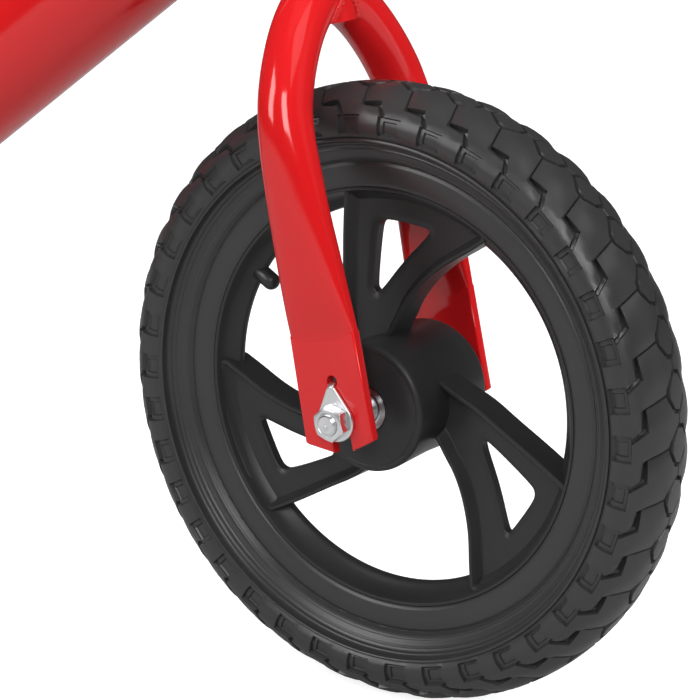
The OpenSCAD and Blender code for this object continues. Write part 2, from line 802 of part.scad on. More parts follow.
// cross bolt with its nut
module saddle_clamp_bolt() {
    reach = rail_spread + 7 + eps;
    color(zinc) translate([saddle_bolt_x, 0, saddle_bolt_z]) {
        translate([0, -reach, 0]) crosswise() hexagon(10, 4);
        translate([0, -reach - eps, 0]) rotate([-90, 0, 0]) cylinder(r = 3, h = 2 * reach + 6);
        translate([0, reach, 0]) rotate([-90, 0, 0]) difference() {
            hexagon(10, 5);
            translate([0, 0, -1]) cylinder(r = 3 + eps, h = 7);
        }
    }
}

// one rail as [forwards, up], rising into the saddle base at both ends
rail_path = round_path([
    [-62, 12], [-55, 3.4], [-51, 0.8], [-46, 0], [46, 0], [51, 0.8], [55, 3.4], [62, 12]
], 3.5);

module saddle_rails() {
    color(zinc) both_sides() translate([clamp_x, rail_spread, rail_z]) rotate([90, 0, 90])
        flattened_tube(rail_path, 16);
}

function saddle_section(p, sides, shrink, bottom, top) = [
    for (k = [0:sides - 1])
        let (
            angle = 360 * k / sides,
            side_reach = (p[1] - shrink) * rounded(angle, p[3]),
            up = rounded(angle - 90, p[3]),
            height = up > 0 ? top * up * (p[2] - shrink) : bottom * up
        ) [p[0] * saddle_length, side_reach, height]
];

// plastic shell under the cushion
module saddle_base() {
    color(black_plastic) difference() {
        translate([saddle_x, 0, saddle_bottom + 8])
            skin([for (p = saddle_path) saddle_section(p, 24, 2.5, 6, 0.12)]);
        saddle_rails();
    }
}

module saddle_cushion() {
    color(black_rubber) difference() {
        translate([saddle_x, 0, saddle_bottom + 8])
            skin([for (p = saddle_path) saddle_section(p, 32, 0, 4, 1)]);
        translate([saddle_x, 0, saddle_bottom + 8])
            skin([for (p = saddle_path) saddle_section(p, 24, 2.4, 12, 0.13)]);
    }
}

// ---------- rear wheel ----------

module rear_tyre() color(black_rubber) at_rear_hub() tyre();
module rear_inner_tube() color(black_rubber) at_rear_hub() inner_tube();
module rear_wheel_rim() color(black_plastic) at_rear_hub() wheel_rim();
module rear_valve_stem() color(steel) at_rear_hub() valve_stem();
module rear_valve_cap() color(black_plastic) at_rear_hub() valve_cap();
module rear_bearing_outer_rings() color(steel) at_rear_hub() bearing_outer_rings();
module rear_bearing_balls() color(steel) at_rear_hub() bearing_balls();
module rear_bearing_shields() color(steel) at_rear_hub() bearing_shields();
module rear_bearing_inner_rings() color(steel) at_rear_hub() bearing_inner_rings();
module rear_axle() color(zinc) at_rear_hub() axle();
module rear_axle_spacers() color(zinc) at_rear_hub() axle_spacers();
module rear_retention_washers() color(zinc) on_stay() rotate([0, washer_turn, 0]) retention_washers();
module rear_axle_nuts() color(zinc) on_stay() axle_nuts();

front_tyre();
front_inner_tube();
front_wheel_rim();
front_valve_stem();
front_valve_cap();
front_bearing_outer_rings();
front_bearing_balls();
front_bearing_shields();
front_bearing_inner_rings();
front_axle();
front_axle_spacers();
front_retention_washers();
front_axle_nuts();
fork_leg_left();
fork_leg_right();
steerer_tube();
headset_crown_race();
headset_balls();
headset_upper_cone();
headset_lock_washer();
headset_locknut();
bar_clamp_collar();
bar_clamp_bolt();
bar_clamp_nut();
handlebar_post();
handlebar();
grip_left();
grip_right();
main_tube();
main_tube_end_plate();
head_tube();
headset_lower_cup();
headset_upper_cup();
seat_tube();
rear_stay_left();
rear_stay_right();
seat_clamp_collar();
seat_clamp_rod();
seat_clamp_nut();
seat_clamp_pin();
seat_clamp_lever();
seat_post();
saddle_clamp();
saddle_clamp_bolt();
saddle_rails();
saddle_base();
saddle_cushion();
rear_tyre();
rear_inner_tube();
rear_wheel_rim();
rear_valve_stem();
rear_valve_cap();
rear_bearing_outer_rings();
rear_bearing_balls();
rear_bearing_shields();
rear_bearing_inner_rings();
rear_axle();
rear_axle_spacers();
rear_retention_washers();
rear_axle_nuts();
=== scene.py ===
"""Child's balance bike: finished surfaces, materials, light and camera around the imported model.

Local shapes are in millimetres, in the part's own frames: x forward, y to the rider's left, z up
or up along a tube. local_frame() turns them into metres in the row frame.
"""
import json
import math

import bmesh
import bpy
import numpy as np
from mathutils import Matrix, Vector
from mathutils.geometry import delaunay_2d_cdt


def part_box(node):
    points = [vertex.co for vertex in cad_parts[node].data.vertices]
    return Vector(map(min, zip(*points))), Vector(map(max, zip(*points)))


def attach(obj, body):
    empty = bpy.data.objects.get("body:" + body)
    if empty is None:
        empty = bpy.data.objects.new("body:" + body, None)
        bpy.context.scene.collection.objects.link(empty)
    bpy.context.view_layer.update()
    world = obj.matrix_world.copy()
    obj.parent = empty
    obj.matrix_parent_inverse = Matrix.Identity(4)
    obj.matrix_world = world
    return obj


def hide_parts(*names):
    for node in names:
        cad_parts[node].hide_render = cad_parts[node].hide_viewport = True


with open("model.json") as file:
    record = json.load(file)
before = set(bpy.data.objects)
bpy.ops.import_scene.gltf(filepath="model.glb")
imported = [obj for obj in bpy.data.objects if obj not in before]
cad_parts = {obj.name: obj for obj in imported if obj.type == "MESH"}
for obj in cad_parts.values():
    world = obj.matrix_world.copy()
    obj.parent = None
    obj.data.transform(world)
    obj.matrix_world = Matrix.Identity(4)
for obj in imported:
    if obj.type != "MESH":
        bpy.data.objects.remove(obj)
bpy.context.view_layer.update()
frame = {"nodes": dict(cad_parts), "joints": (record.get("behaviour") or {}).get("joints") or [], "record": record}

MM = 0.001
TAU = 2 * math.pi


# ---------- places, from the frame ----------

def centre_of(node):
    low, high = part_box(node)
    return (low + high) / 2


def joint(name):
    return next(j for j in frame["joints"] if j["name"] == name)


def local_frame(origin, up=(0, 0, 1)):
    """Millimetres with z along up and y to the left, as metres in the row frame."""
    z = Vector(up).normalized()
    y = Vector((0, 1, 0))
    turn = Matrix((y.cross(z), y, z)).transposed().to_4x4()
    return Matrix.Translation(origin) @ turn @ Matrix.Scale(MM, 4)


STAY_SLOPE = math.radians(23.5)
MAIN_SLOPE = math.radians(35.9)
SEAT_FOOT = (-0.082, 0, 0.222)

FRONT_HUB = centre_of("front_axle")
REAR_HUB = centre_of("rear_axle")
FRONT_WHEEL = local_frame(FRONT_HUB)
REAR_WHEEL = local_frame(REAR_HUB)
FORK = local_frame(FRONT_HUB, joint("steering")["axis"])
STAY = local_frame(REAR_HUB, (math.cos(STAY_SLOPE), 0, math.sin(STAY_SLOPE)))
SEAT = local_frame(SEAT_FOOT, joint("saddle_height")["axis"])
BIKE = local_frame((0, 0, 0))
MIRROR = Matrix.Scale(-1, 4, (0, 1, 0))


# ---------- materials ----------

def new_material(name, colour, roughness, metallic=0.0, coat=0.0, specular=0.5):
    material = bpy.data.materials.new(name)
    material.use_nodes = True
    shader = material.node_tree.nodes["Principled BSDF"]
    shader.inputs["Base Color"].default_value = (*colour, 1)
    shader.inputs["Roughness"].default_value = roughness
    shader.inputs["Metallic"].default_value = metallic
    shader.inputs["Coat Weight"].default_value = coat
    shader.inputs["Coat Roughness"].default_value = 0.06
    shader.inputs["Specular IOR Level"].default_value = specular
    return material


def texture(material, kind, scale, **values):
    """A texture in object space, in metres, so that it doesn't depend on UVs."""
    tree = material.node_tree
    place = tree.nodes.get("Place") or tree.nodes.new("ShaderNodeTexCoord")
    place.name = "Place"
    node = tree.nodes.new(kind)
    node.inputs["Scale"].default_value = scale
    for key, value in values.items():
        node.inputs[key].default_value = value
    tree.links.new(place.outputs["Object"], node.inputs["Vector"])
    return node


def ramp(material, source, low, high):
    """The source's 0 to 1 mapped onto low to high."""
    node = material.node_tree.nodes.new("ShaderNodeMapRange")
    node.inputs["To Min"].default_value = low
    node.inputs["To Max"].default_value = high
    material.node_tree.links.new(source, node.inputs["Value"])
    return node.outputs["Result"]


def tint(material, source, dark, light):
    """Base colour between two colours, by the source."""
    node = material.node_tree.nodes.new("ShaderNodeValToRGB")
    node.color_ramp.elements[0].color = (*dark, 1)
    node.color_ramp.elements[1].color = (*light, 1)
    shader = material.node_tree.nodes["Principled BSDF"]
    material.node_tree.links.new(source, node.inputs["Fac"])
    material.node_tree.links.new(node.outputs["Color"], shader.inputs["Base Color"])


def roughen(material, source, low, high):
    shader = material.node_tree.nodes["Principled BSDF"]
    material.node_tree.links.new(ramp(material, source, low, high), shader.inputs["Roughness"])


def bump(material, source, depth, strength=1.0):
    """Adds a bump of this depth in metres on top of any bump already there."""
    tree = material.node_tree
    shader = tree.nodes["Principled BSDF"]
    node = tree.nodes.new("ShaderNodeBump")
    node.inputs["Distance"].default_value = depth
    node.inputs["Strength"].default_value = strength
    tree.links.new(source, node.inputs["Height"])
    for link in shader.inputs["Normal"].links:
        tree.links.new(link.from_socket, node.inputs["Normal"])
    tree.links.new(node.outputs["Normal"], shader.inputs["Normal"])


def speckled(name, dark, light, rough, scale, depth, **shading):
    """A moulded or painted surface: faint uneven colour and gloss, and a fine grain."""
    material = new_material(name, light, rough[0], **shading)
    cloud = texture(material, "ShaderNodeTexNoise", 18, Detail=3)
    grain = texture(material, "ShaderNodeTexNoise", scale, Detail=4)
    tint(material, cloud.outputs["Fac"], dark, light)
    roughen(material, cloud.outputs["Fac"], *rough)
    bump(material, grain.outputs["Fac"], depth)
    return material


def brushed(name, colour, rough, scale, depth):
    """Plated or polished metal with faint scratches."""
    dark = [0.86 * c for c in colour]
    material = speckled(name, dark, colour, rough, scale, depth, metallic=1.0)
    scratches = texture(material, "ShaderNodeTexNoise", 900, Detail=2, Distortion=1.5)
    bump(material, scratches.outputs["Fac"], 4e-6)
    return material


RED = speckled("red_paint", (0.62, 0.010, 0.012), (0.65, 0.013, 0.015), (0.09, 0.13), 260, 2.5e-6)
RUBBER = speckled("tyre_rubber", (0.027, 0.027, 0.028), (0.036, 0.036, 0.037), (0.31, 0.40), 1500, 2.5e-5)
TUBE_RUBBER = speckled("tube_rubber", (0.03, 0.03, 0.03), (0.045, 0.045, 0.045), (0.6, 0.7), 900, 3e-5)
PLASTIC = speckled("wheel_plastic", (0.024, 0.024, 0.025), (0.029, 0.029, 0.030), (0.32, 0.40), 1300, 1.2e-5,
                   specular=0.3)
CAP_PLASTIC = speckled("cap_plastic", (0.012, 0.012, 0.013), (0.02, 0.02, 0.021), (0.3, 0.42), 1600, 1e-5)
GRIP_RUBBER = speckled("grip_rubber", (0.02, 0.02, 0.021), (0.032, 0.032, 0.033), (0.62, 0.74), 1100, 4e-5)
SHELL = speckled("saddle_shell", (0.014, 0.014, 0.015), (0.022, 0.022, 0.023), (0.4, 0.55), 1200, 3e-5)
ZINC = brushed("plated_steel", (0.88, 0.89, 0.90), (0.27, 0.38), 700, 8e-6)
STEEL = brushed("bearing_steel", (0.55, 0.56, 0.58), (0.20, 0.34), 900, 6e-6)
POST = brushed("post_steel", (0.72, 0.73, 0.75), (0.14, 0.24), 500, 4e-6)
VALVE = brushed("valve_steel", (0.62, 0.58, 0.50), (0.25, 0.4), 800, 8e-6)
CLAMP = speckled("clamp_aluminium", (0.016, 0.016, 0.017), (0.03, 0.03, 0.031), (0.32, 0.45), 1400, 1.5e-5,
                 metallic=0.3)

COVER = new_material("saddle_cover", (0.022, 0.022, 0.023), 0.5)
leather = texture(COVER, "ShaderNodeTexVoronoi", 620)
crease_relief_and_shade = texture(COVER, "ShaderNodeTexNoise", 60, Detail=5)
# the crease noise also sets the cover's colour, darker in the hollows of the creases: painted shade
tint(COVER, crease_relief_and_shade.outputs["Fac"], (0.014, 0.014, 0.015), (0.026, 0.026, 0.027))
roughen(COVER, leather.outputs["Distance"], 0.42, 0.62)
bump(COVER, leather.outputs["Distance"], 1.2e-4, 0.6)
bump(COVER, crease_relief_and_shade.outputs["Fac"], 3e-4, 0.4)

FINISHES = {
    "red_paint": RED, "tyre_rubber": RUBBER, "tube_rubber": TUBE_RUBBER, "wheel_plastic": PLASTIC,
    "cap_plastic": CAP_PLASTIC, "grip_rubber": GRIP_RUBBER, "saddle_shell": SHELL,
    "saddle_cover": COVER, "plated_steel": ZINC, "bearing_steel": STEEL, "post_steel": POST,
    "valve_steel": VALVE, "clamp_aluminium": CLAMP,
}


# ---------- mesh helpers: a shape is (points, faces) ----------

def joined(*shapes):
    points, faces = [], []
    for more_points, more_faces in shapes:
        start = len(points)
        points += [tuple(p) for p in more_points]
        faces += [tuple(start + i for i in face) for face in more_faces]
    return points, faces


def moved(shape, matrix):
    return [tuple(matrix @ Vector(p)) for p in shape[0]], shape[1]


def mirrored(shape):
    """The shape and its mirror image in the bike's mid-plane."""
    return joined(shape, moved(shape, MIRROR))


def turned(section_at, segments, closed=False):
    """A section of (radius, across), which may change with the angle, turned round the y axis."""
    points = []
    for k in range(segments):
        angle = TAU * k / segments
        section = section_at(angle)
        points += [(r * math.cos(angle), y, r * math.sin(angle)) for r, y in section]
    rows = len(section)
    faces = []
    for k in range(segments):
        a, b = k * rows, (k + 1) % segments * rows
        for i in range(rows if closed else rows - 1):
            j = (i + 1) % rows
            faces.append((a + i, b + i, b + j, a + j))
    return points, faces


def revolved(section, segments, closed=False):
    return turned(lambda angle: section, segments, closed)


def skinned(rings, caps=True):
    """Walls between rings that all have the same number of points."""
    sides = len(rings[0])
    points = [p for ring in rings for p in ring]
    faces = [
        (i * sides + k, (i + 1) * sides + k, (i + 1) * sides + (k + 1) % sides, i * sides + (k + 1) % sides)
        for i in range(len(rings) - 1) for k in range(sides)
    ]
    if caps:
        faces.append(tuple(reversed(range(sides))))
        faces.append(tuple(range((len(rings) - 1) * sides, len(rings) * sides)))
    return points, faces


def eased(rows, step):
    """Rows of numbers interpolated along their first number, smoothly and without overshoot."""
    x = np.array([row[0] for row in rows], float)
    y = np.array(rows, float)
    width = np.diff(x)
    slope = np.diff(y, axis=0) / width[:, None]
    tangent = np.zeros_like(y)
    tangent[0], tangent[-1] = slope[0], slope[-1]
    for i in range(1, len(x) - 1):
        same = slope[i - 1] * slope[i] > 0
        w1, w2 = 2 * width[i] + width[i - 1], width[i] + 2 * width[i - 1]
        with np.errstate(divide="ignore", invalid="ignore"):
            mean = (w1 + w2) / (w1 / slope[i - 1] + w2 / slope[i])
        tangent[i] = np.where(same, mean, 0)
    made = []
    for i in range(len(x) - 1):
        pieces = max(1, round(width[i] / step))
        for k in range(pieces):
            t = k / pieces
            made.append(
                (2 * t**3 - 3 * t**2 + 1) * y[i] + (t**3 - 2 * t**2 + t) * width[i] * tangent[i]
                + (3 * t**2 - 2 * t**3) * y[i + 1] + (t**3 - t**2) * width[i] * tangent[i + 1]
            )
    made.append(y[-1])
    return [list(row) for row in made]


def bulge(angle, power):
    value = math.cos(angle)
    return math.copysign(abs(value) ** (2 / power), value)


def oval_rings(path, sides, grow=0.0):
    """Cross-sections square to a path of [along, across, half width, half thickness, squareness]."""
    rings = []
    last = len(path) - 1
    for i, (along, across, half_width, half_thickness, power) in enumerate(path):
        before, after = path[max(i - 1, 0)], path[min(i + 1, last)]
        tilt = math.atan2(after[1] - before[1], after[0] - before[0])
        ring = []
        for k in range(sides):
            angle = TAU * k / sides
            u = (half_width + grow) * bulge(angle, power)
            v = (half_thickness + grow) * bulge(angle - TAU / 4, power)
            ring.append((u, across + v * math.cos(tilt), along - v * math.sin(tilt)))
        rings.append(ring)
    return rings


def add_piece(name, shape, place, body, slot, stands_for=(), sharp=38, merge=1e-6):
    """A finished mesh object, in the row frame, with its finish, body and replaced nodes."""
    mesh = bpy.data.meshes.new(name)
    mesh.from_pydata([place @ Vector(p) for p in shape[0]], [], shape[1])
    work = bmesh.new()
    work.from_mesh(mesh)
    bmesh.ops.remove_doubles(work, verts=work.verts, dist=merge)
    bmesh.ops.recalc_face_normals(work, faces=work.faces)
    work.to_mesh(mesh)
    work.free()
    piece = bpy.data.objects.new(name, mesh)
    bpy.context.scene.collection.objects.link(piece)
    smooth(mesh, sharp)
    mesh.materials.append(FINISHES[slot])
    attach(piece, body)
    if stands_for:
        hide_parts(*stands_for)
    return piece


def smooth(mesh, sharp):
    mesh.shade_smooth()
    mesh.set_sharp_from_angle(angle=math.radians(sharp))


# ---------- flat shapes with a modelled edge ----------

def softened(points, rounds):
    """A closed outline with its corners cut again and again."""
    for _ in range(rounds):
        points = [
            p for a, b in zip(points, points[1:] + points[:1])
            for p in ((0.75 * a[0] + 0.25 * b[0], 0.75 * a[1] + 0.25 * b[1]),
                      (0.25 * a[0] + 0.75 * b[0], 0.25 * a[1] + 0.75 * b[1]))
        ]
    return points


def circle(x, y, radius, count=48, start=0.0, turn=TAU):
    return [
        (x + radius * math.cos(start + turn * k / count), y + radius * math.sin(start + turn * k / count))
        for k in range(count)
    ]


def distances(points, loop):
    """How far each point is from a closed outline, and whether it is inside."""
    p = np.asarray(points, float)[:, None, :]
    a = np.asarray(loop, float)
    b = np.roll(a, -1, axis=0)
    span = b - a
    share = np.clip(((p - a) * span).sum(-1) / np.maximum((span**2).sum(-1), 1e-12), 0, 1)
    away = np.linalg.norm(p - (a + share[..., None] * span), axis=-1).min(1)
    crosses = (a[:, 1] > p[..., 1]) != (b[:, 1] > p[..., 1])
    with np.errstate(divide="ignore", invalid="ignore"):
        at = a[:, 0] + (p[..., 1] - a[:, 1]) * span[:, 0] / span[:, 1]
    inside = (crosses & (p[..., 0] < at)).sum(1) % 2 == 1
    return away, inside


def offset_loop(loop, distance):
    """The outline moved inwards (or outwards, if negative), as segments that stay at that distance."""
    pts = np.asarray(loop, float)
    area = (pts[:, 0] * np.roll(pts[:, 1], -1) - np.roll(pts[:, 0], -1) * pts[:, 1]).sum()
    ahead = np.roll(pts, -1, axis=0) - pts
    behind = pts - np.roll(pts, 1, axis=0)
    ahead /= np.linalg.norm(ahead, axis=1)[:, None]
    behind /= np.linalg.norm(behind, axis=1)[:, None]
    side = math.copysign(1, area)
    normal_a = np.stack([-ahead[:, 1], ahead[:, 0]], 1) * side
    normal_b = np.stack([-behind[:, 1], behind[:, 0]], 1) * side
    mitre = (normal_a + normal_b) / (1 + (normal_a * normal_b).sum(1))[:, None].clip(0.4)
    moved_points = pts + mitre * distance
    away, _ = distances(moved_points, loop)
    good = away > abs(distance) * 0.97 - 1e-6
    return [tuple(p) for p in moved_points], good


def relief(outline, holes, rings, hole_rings, half_thickness):
    """A flat shape whose half thickness depends on the distance from its outline and its holes."""
    points, edges = [], []

    def add_loop(loop, good):
        start = len(points)
        points.extend(loop)
        count = len(loop)
        edges.extend(
            (start + i, start + (i + 1) % count) for i in range(count) if good[i] and good[(i + 1) % count]
        )

    add_loop(outline, [True] * len(outline))
    for hole in holes:
        add_loop(hole, [True] * len(hole))
    for distance in rings:
        add_loop(*offset_loop(outline, distance))
    for hole in holes:
        for distance in hole_rings:
            add_loop(*offset_loop(hole, -distance))
    flat, _, triangles, *_ = delaunay_2d_cdt([Vector(p) for p in points], edges, [], 0, 1e-4)
    middles = [sum((flat[i] for i in t), Vector((0, 0))) / 3 for t in triangles]
    keep = distances(middles, outline)[1]
    for hole in holes:
        keep &= ~distances(middles, hole)[1]
    triangles = [t for t, wanted in zip(triangles, keep) if wanted]
    used = sorted({i for t in triangles for i in t})
    index = {old: new for new, old in enumerate(used)}
    flat = [flat[i] for i in used]
    triangles = [tuple(index[i] for i in t) for t in triangles]
    from_edge = distances(flat, outline)[0]
    from_hole = np.full(len(flat), 1e3)
    for hole in holes:
        from_hole = np.minimum(from_hole, distances(flat, hole)[0])
    half = [half_thickness(p, e, h) for p, e, h in zip(flat, from_edge, from_hole)]
    count = len(flat)
    solid = [(p.x, p.y, t) for p, t in zip(flat, half)] + [(p.x, p.y, -t) for p, t in zip(flat, half)]
    faces = list(triangles) + [tuple(i + count for i in reversed(t)) for t in triangles]
    border = {}
    for t in triangles:
        for a, b in zip(t, t[1:] + t[:1]):
            border[frozenset((a, b))] = None if frozenset((a, b)) in border else (a, b)
    faces += [(a, a + count, b + count, b) for pair in border.values() if pair for a, b in [pair]]
    return solid, faces


def rounded_edge(distance, half, radius):
    """Half thickness of a plate with rounded edges, this far in from its outline."""
    inward = min(distance / radius, 1)
    return half - radius * (1 - math.sqrt(1 - (1 - inward) ** 2))


# turns a flat shape's (x, y, height) into the bike's x, z, and across
UPRIGHT = Matrix(((1, 0, 0, 0), (0, 0, -1, 0), (0, 1, 0, 0), (0, 0, 0, 1)))


# ---------- tyre ----------

CROWN_RADIUS = 150
TREAD_PITCHES = 38
PITCH = 360 / TREAD_PITCHES
MM_PER_DEGREE = CROWN_RADIUS * math.pi / 180
TREAD_EDGE = 38.7

# half the section over the tread: distance from the crown line along the surface, radius, across
TREAD_SECTION = [
    (0, 150, 0), (5, 149.75, 5), (9, 149, 8.9), (13.9, 147, 13.5), (21.4, 142.5, 19.5), (27.4, 137.5, 22.8),
    (33, 132, 24), (36.2, 129, 23.2), (TREAD_EDGE, 126.7, 22.0)
]
TREAD_LINES = [0, 3.5, 7, 10.5, 13.9, 17.6, 21.4, 24.4, 27.4, 30.2, 33, 36, TREAD_EDGE]

# outlines in one pitch: corners in degrees and millimetres from a crown block's centre
CROWN_MOAT = [(-4.0, 1.2), (-3.6, -3.6), (-1.3, -7.1), (1.1, -7.0), (4.0, -1.2), (3.6, 3.6), (1.3, 7.1),
              (-1.1, 7.0)]
CROWN_BLOCK = [(-3.4, 1.0), (-3.0, -3.0), (-1.0, -5.8), (0.8, -5.6), (3.4, -1.0), (3.0, 3.0), (1.0, 5.8),
               (-0.8, 5.6)]
STEP = [(4.0, -18.8), (7.9, -18.8), (7.4, -22.3), (3.5, -22.3)]
NOTCH = [(-2.2, -26.8), (3.05, -26.8), (3.05, -37.0), (-2.2, -37.0)]
INNER_NOTCH = [(-1.1, -28.6), (2.0, -28.6), (2.0, -36.2), (-1.1, -36.2)]
CROWN_LINE = [(3.9, 0), (5.6, 0)]
UPPER_LINE = [(7.5, -22.0), (8.1, -16.5), (9.3, -6.7)]
DIAGONAL = [(1.9, -27.3), (4.1, -19.2)]
MOAT_DEPTH = 1.7
STEP_DEPTH = 2.9
STEP_RAMP = 3.2  # the step's floor rises outwards over this length
NOTCH_DEPTH = 1.6
INNER_NOTCH_DEPTH = 0.9
CROWN_LINE_DEPTH = 1.2
UPPER_LINE_DEPTH = 0.9
DIAGONAL_DEPTH = 2.2
GROOVE_SLOPE = 0.55
# each shoulder block falls away towards its two ends
PILLOW_DEPTH = 1.9
PILLOW_FROM, PILLOW_TO = 5, 26
# where the groove beside a shoulder block runs: distance from the crown line, degrees
PILLOW_SIDE = [(7, 9.3), (16.5, 8.1), (19, 7.4), (22.3, 3.9), (27, 1.9)]


def channel(line, width):
    """A zigzag line in degrees and millimetres as a narrow closed outline in millimetres."""
    pts = [Vector((x * MM_PER_DEGREE, v)) for x, v in line]
    left, right = [], []
    for i, p in enumerate(pts):
        ahead = (pts[min(i + 1, len(pts) - 1)] - p).normalized()
        behind = (p - pts[max(i - 1, 0)]).normalized()
        if i == 0:
            behind = ahead
        if i == len(pts) - 1:
            ahead = behind
        bisector = (ahead + behind).normalized()
        normal = Vector((-bisector.y, bisector.x)) * (width / 2 / max(bisector.dot(ahead), 0.5))
        left.append(tuple(p + normal))
        right.append(tuple(p - normal))
    return left + right[::-1]


def in_millimetres(outline):
    return [(x * MM_PER_DEGREE, v) for x, v in outline]


def tread_recesses():
    """Every outline that touches one pitch: (millimetres, depth, whether depths add up, ramp length)."""
    repeat = PITCH * MM_PER_DEGREE
    shoulder = [
        (channel(UPPER_LINE, 1.1), UPPER_LINE_DEPTH, False, 0),
        (channel(DIAGONAL, 2.6), DIAGONAL_DEPTH, False, 0),
        (in_millimetres(STEP), STEP_DEPTH, False, STEP_RAMP),
        (in_millimetres(NOTCH), NOTCH_DEPTH, False, 0),
        (in_millimetres(INNER_NOTCH), INNER_NOTCH_DEPTH, True, 0),
    ]
    other_shoulder = [([(repeat - x, -v) for x, v in line], *rest) for line, *rest in shoulder]
    crown = [
        (in_millimetres(CROWN_MOAT), MOAT_DEPTH, False, 0),
        (in_millimetres(CROWN_BLOCK), -MOAT_DEPTH, True, 0),
        (channel(CROWN_LINE, 1.2), CROWN_LINE_DEPTH, False, 0),
    ]
    made = []
    for outline, *rest in shoulder + other_shoulder + crown:
        for k in (-2, -1, 0, 1):
            along = [x + k * repeat for x, _ in outline]
            if max(along) > -0.01 and min(along) < repeat + 0.01:
                made.append((list(zip(along, [v for _, v in outline])), *rest))
    return made


def pillow(x, v):
    """How far a shoulder block's surface falls away at this place."""
    lean = np.interp(abs(v), *zip(*PILLOW_SIDE)) * MM_PER_DEGREE
    along = x if v < 0 else PITCH * MM_PER_DEGREE - x
    share = ((along - lean) / (PITCH * MM_PER_DEGREE)) % 1
    zone = np.interp(abs(v), [PILLOW_FROM, PILLOW_FROM + 3, PILLOW_TO - 6, PILLOW_TO], [0, 1, 1, 0])
    return PILLOW_DEPTH * zone * abs(2 * share - 1) ** 2.6


def tread_pitch():
    """One pitch of tread as flat points with a depth, and its triangles."""
    length = PITCH * MM_PER_DEGREE
    points, edges = [], []

    def add_line(line, closed):
        start = len(points)
        points.extend(line)
        edges.extend((start + i, start + i + 1) for i in range(len(line) - 1))
        if closed:
            edges.append((start + len(line) - 1, start))

    for v in TREAD_LINES:
        for side in ((1, -1) if v else (1,)):
            add_line([(0, side * v), (length, side * v)], False)
    for k in range(7):
        add_line([(length * k / 6, -TREAD_EDGE), (length * k / 6, TREAD_EDGE)], False)
    recesses = tread_recesses()
    for outline, *_ in recesses:
        add_line(outline, True)
        inner, _ = offset_loop(outline, GROOVE_SLOPE)
        add_line(inner, True)
    flat, _, triangles, *_ = delaunay_2d_cdt([Vector(p) for p in points], edges, [], 0, 1e-4)
    triangles = [
        t for t in triangles
        if 0 < sum(flat[i].x for i in t) / 3 < length and abs(sum(flat[i].y for i in t) / 3) < TREAD_EDGE
    ]
    used = sorted({i for t in triangles for i in t})
    index = {old: new for new, old in enumerate(used)}
    flat = [flat[i] for i in used]
    lowest = np.zeros(len(flat))
    added = np.zeros(len(flat))
    for outline, depth, adds, ramp_length in recesses:
        away, inside = distances(flat, outline)
        step = np.where(inside, np.clip(away / GROOVE_SLOPE, 0, 1), 0) * depth
        if ramp_length:
            outer = max(abs(v) for _, v in outline)
            step *= np.clip([(outer - abs(p.y)) / ramp_length for p in flat], 0, 1)
        if adds:
            added += step
        else:
            lowest = np.maximum(lowest, step)
    depths = lowest + added + [pillow(p.x, p.y) for p in flat]
    return [(p.x, p.y, d) for p, d in zip(flat, depths)], [tuple(index[i] for i in t) for t in triangles]


def tread_point(angle, v, depth):
    """A tread point from its angle in degrees, its distance from the crown line and its depth."""
    places, radii, offsets = np.array(TREAD_CURVE).T
    s = abs(v)
    radius = np.interp(s, places, radii)
    across = np.interp(s, places, offsets)
    slope_r = np.interp(s + 0.5, places, radii) - np.interp(s - 0.5, places, radii)
    slope_y = np.interp(s + 0.5, places, offsets) - np.interp(s - 0.5, places, offsets)
    size = math.hypot(slope_r, slope_y)
    radius -= depth * slope_y / size
    across += depth * slope_r / size
    a = math.radians(angle)
    return (radius * math.cos(a), math.copysign(across, v), radius * math.sin(a))


TREAD_CURVE = eased(TREAD_SECTION, 1.0)
FIRST_BLOCK = 0.78  # angle of a crown block's centre

SIDEWALL = [(126.7, 22.0), (126.6, 22.8), (125.7, 23.1), (125.3, 22.9), (124.9, 20.4), (119, 15.9),
            (115.2, 13.6), (114.1, 12.4)]
SIDEWALL_RINGS = [(123.3, 0.45), (120.8, 0.45), (117.2, 0.25), (115.9, 0.35)]  # (radius, height)
RING_HALF_WIDTH = 0.6
BEAD = [(114.1, 12.4), (113.2, 12.95), (112.4, 13.0), (104.2, 12.2), (103.0, 12.0), (102.2, 11.3),
        (102.2, 6.6)]
BEAD_RIBS = 360
RIBBED_ROWS = (2, 3)  # the two points of BEAD that the ribs run between
RIB_HEIGHT = 0.4
CAVITY = [(102.2, 6.6), (107.5, 7.8), (114, 9.4), (125, 16.8), (132, 20.4), (139, 17.2), (143.4, 9),
          (144.4, 0)]


def sidewall():
    """The smooth band under the tread, with its fine raised rings."""
    rows = eased([(-r, r, y) for r, y in SIDEWALL], 0.4)
    section = []
    for _, r, y in rows:
        ridge = sum(high * max(0, 1 - abs(r - at) / RING_HALF_WIDTH) for at, high in SIDEWALL_RINGS)
        section.append((r, y + ridge))
    return revolved(section, 300)


def bead_band():
    """The band above the rim, with fine radial ribs."""
    points, faces = revolved(BEAD, 2 * BEAD_RIBS)
    rows = len(BEAD)
    for i, p in enumerate(points):
        row, column = i % rows, i // rows
        if row in RIBBED_ROWS and column % 2:
            points[i] = (p[0], p[1] + RIB_HEIGHT, p[2])
    return points, faces


def tyre_shape():
    flat, triangles = tread_pitch()
    points, faces = [], []
    for k in range(TREAD_PITCHES):
        start = len(points)
        points += [
            tread_point(FIRST_BLOCK + k * PITCH + x / MM_PER_DEGREE, v, depth) for x, v, depth in flat
        ]
        faces += [tuple(start + i for i in t) for t in triangles]
    return joined((points, faces), mirrored(sidewall()), mirrored(bead_band()),
                  mirrored(revolved(CAVITY, 96)))


# ---------- wheel rim ----------

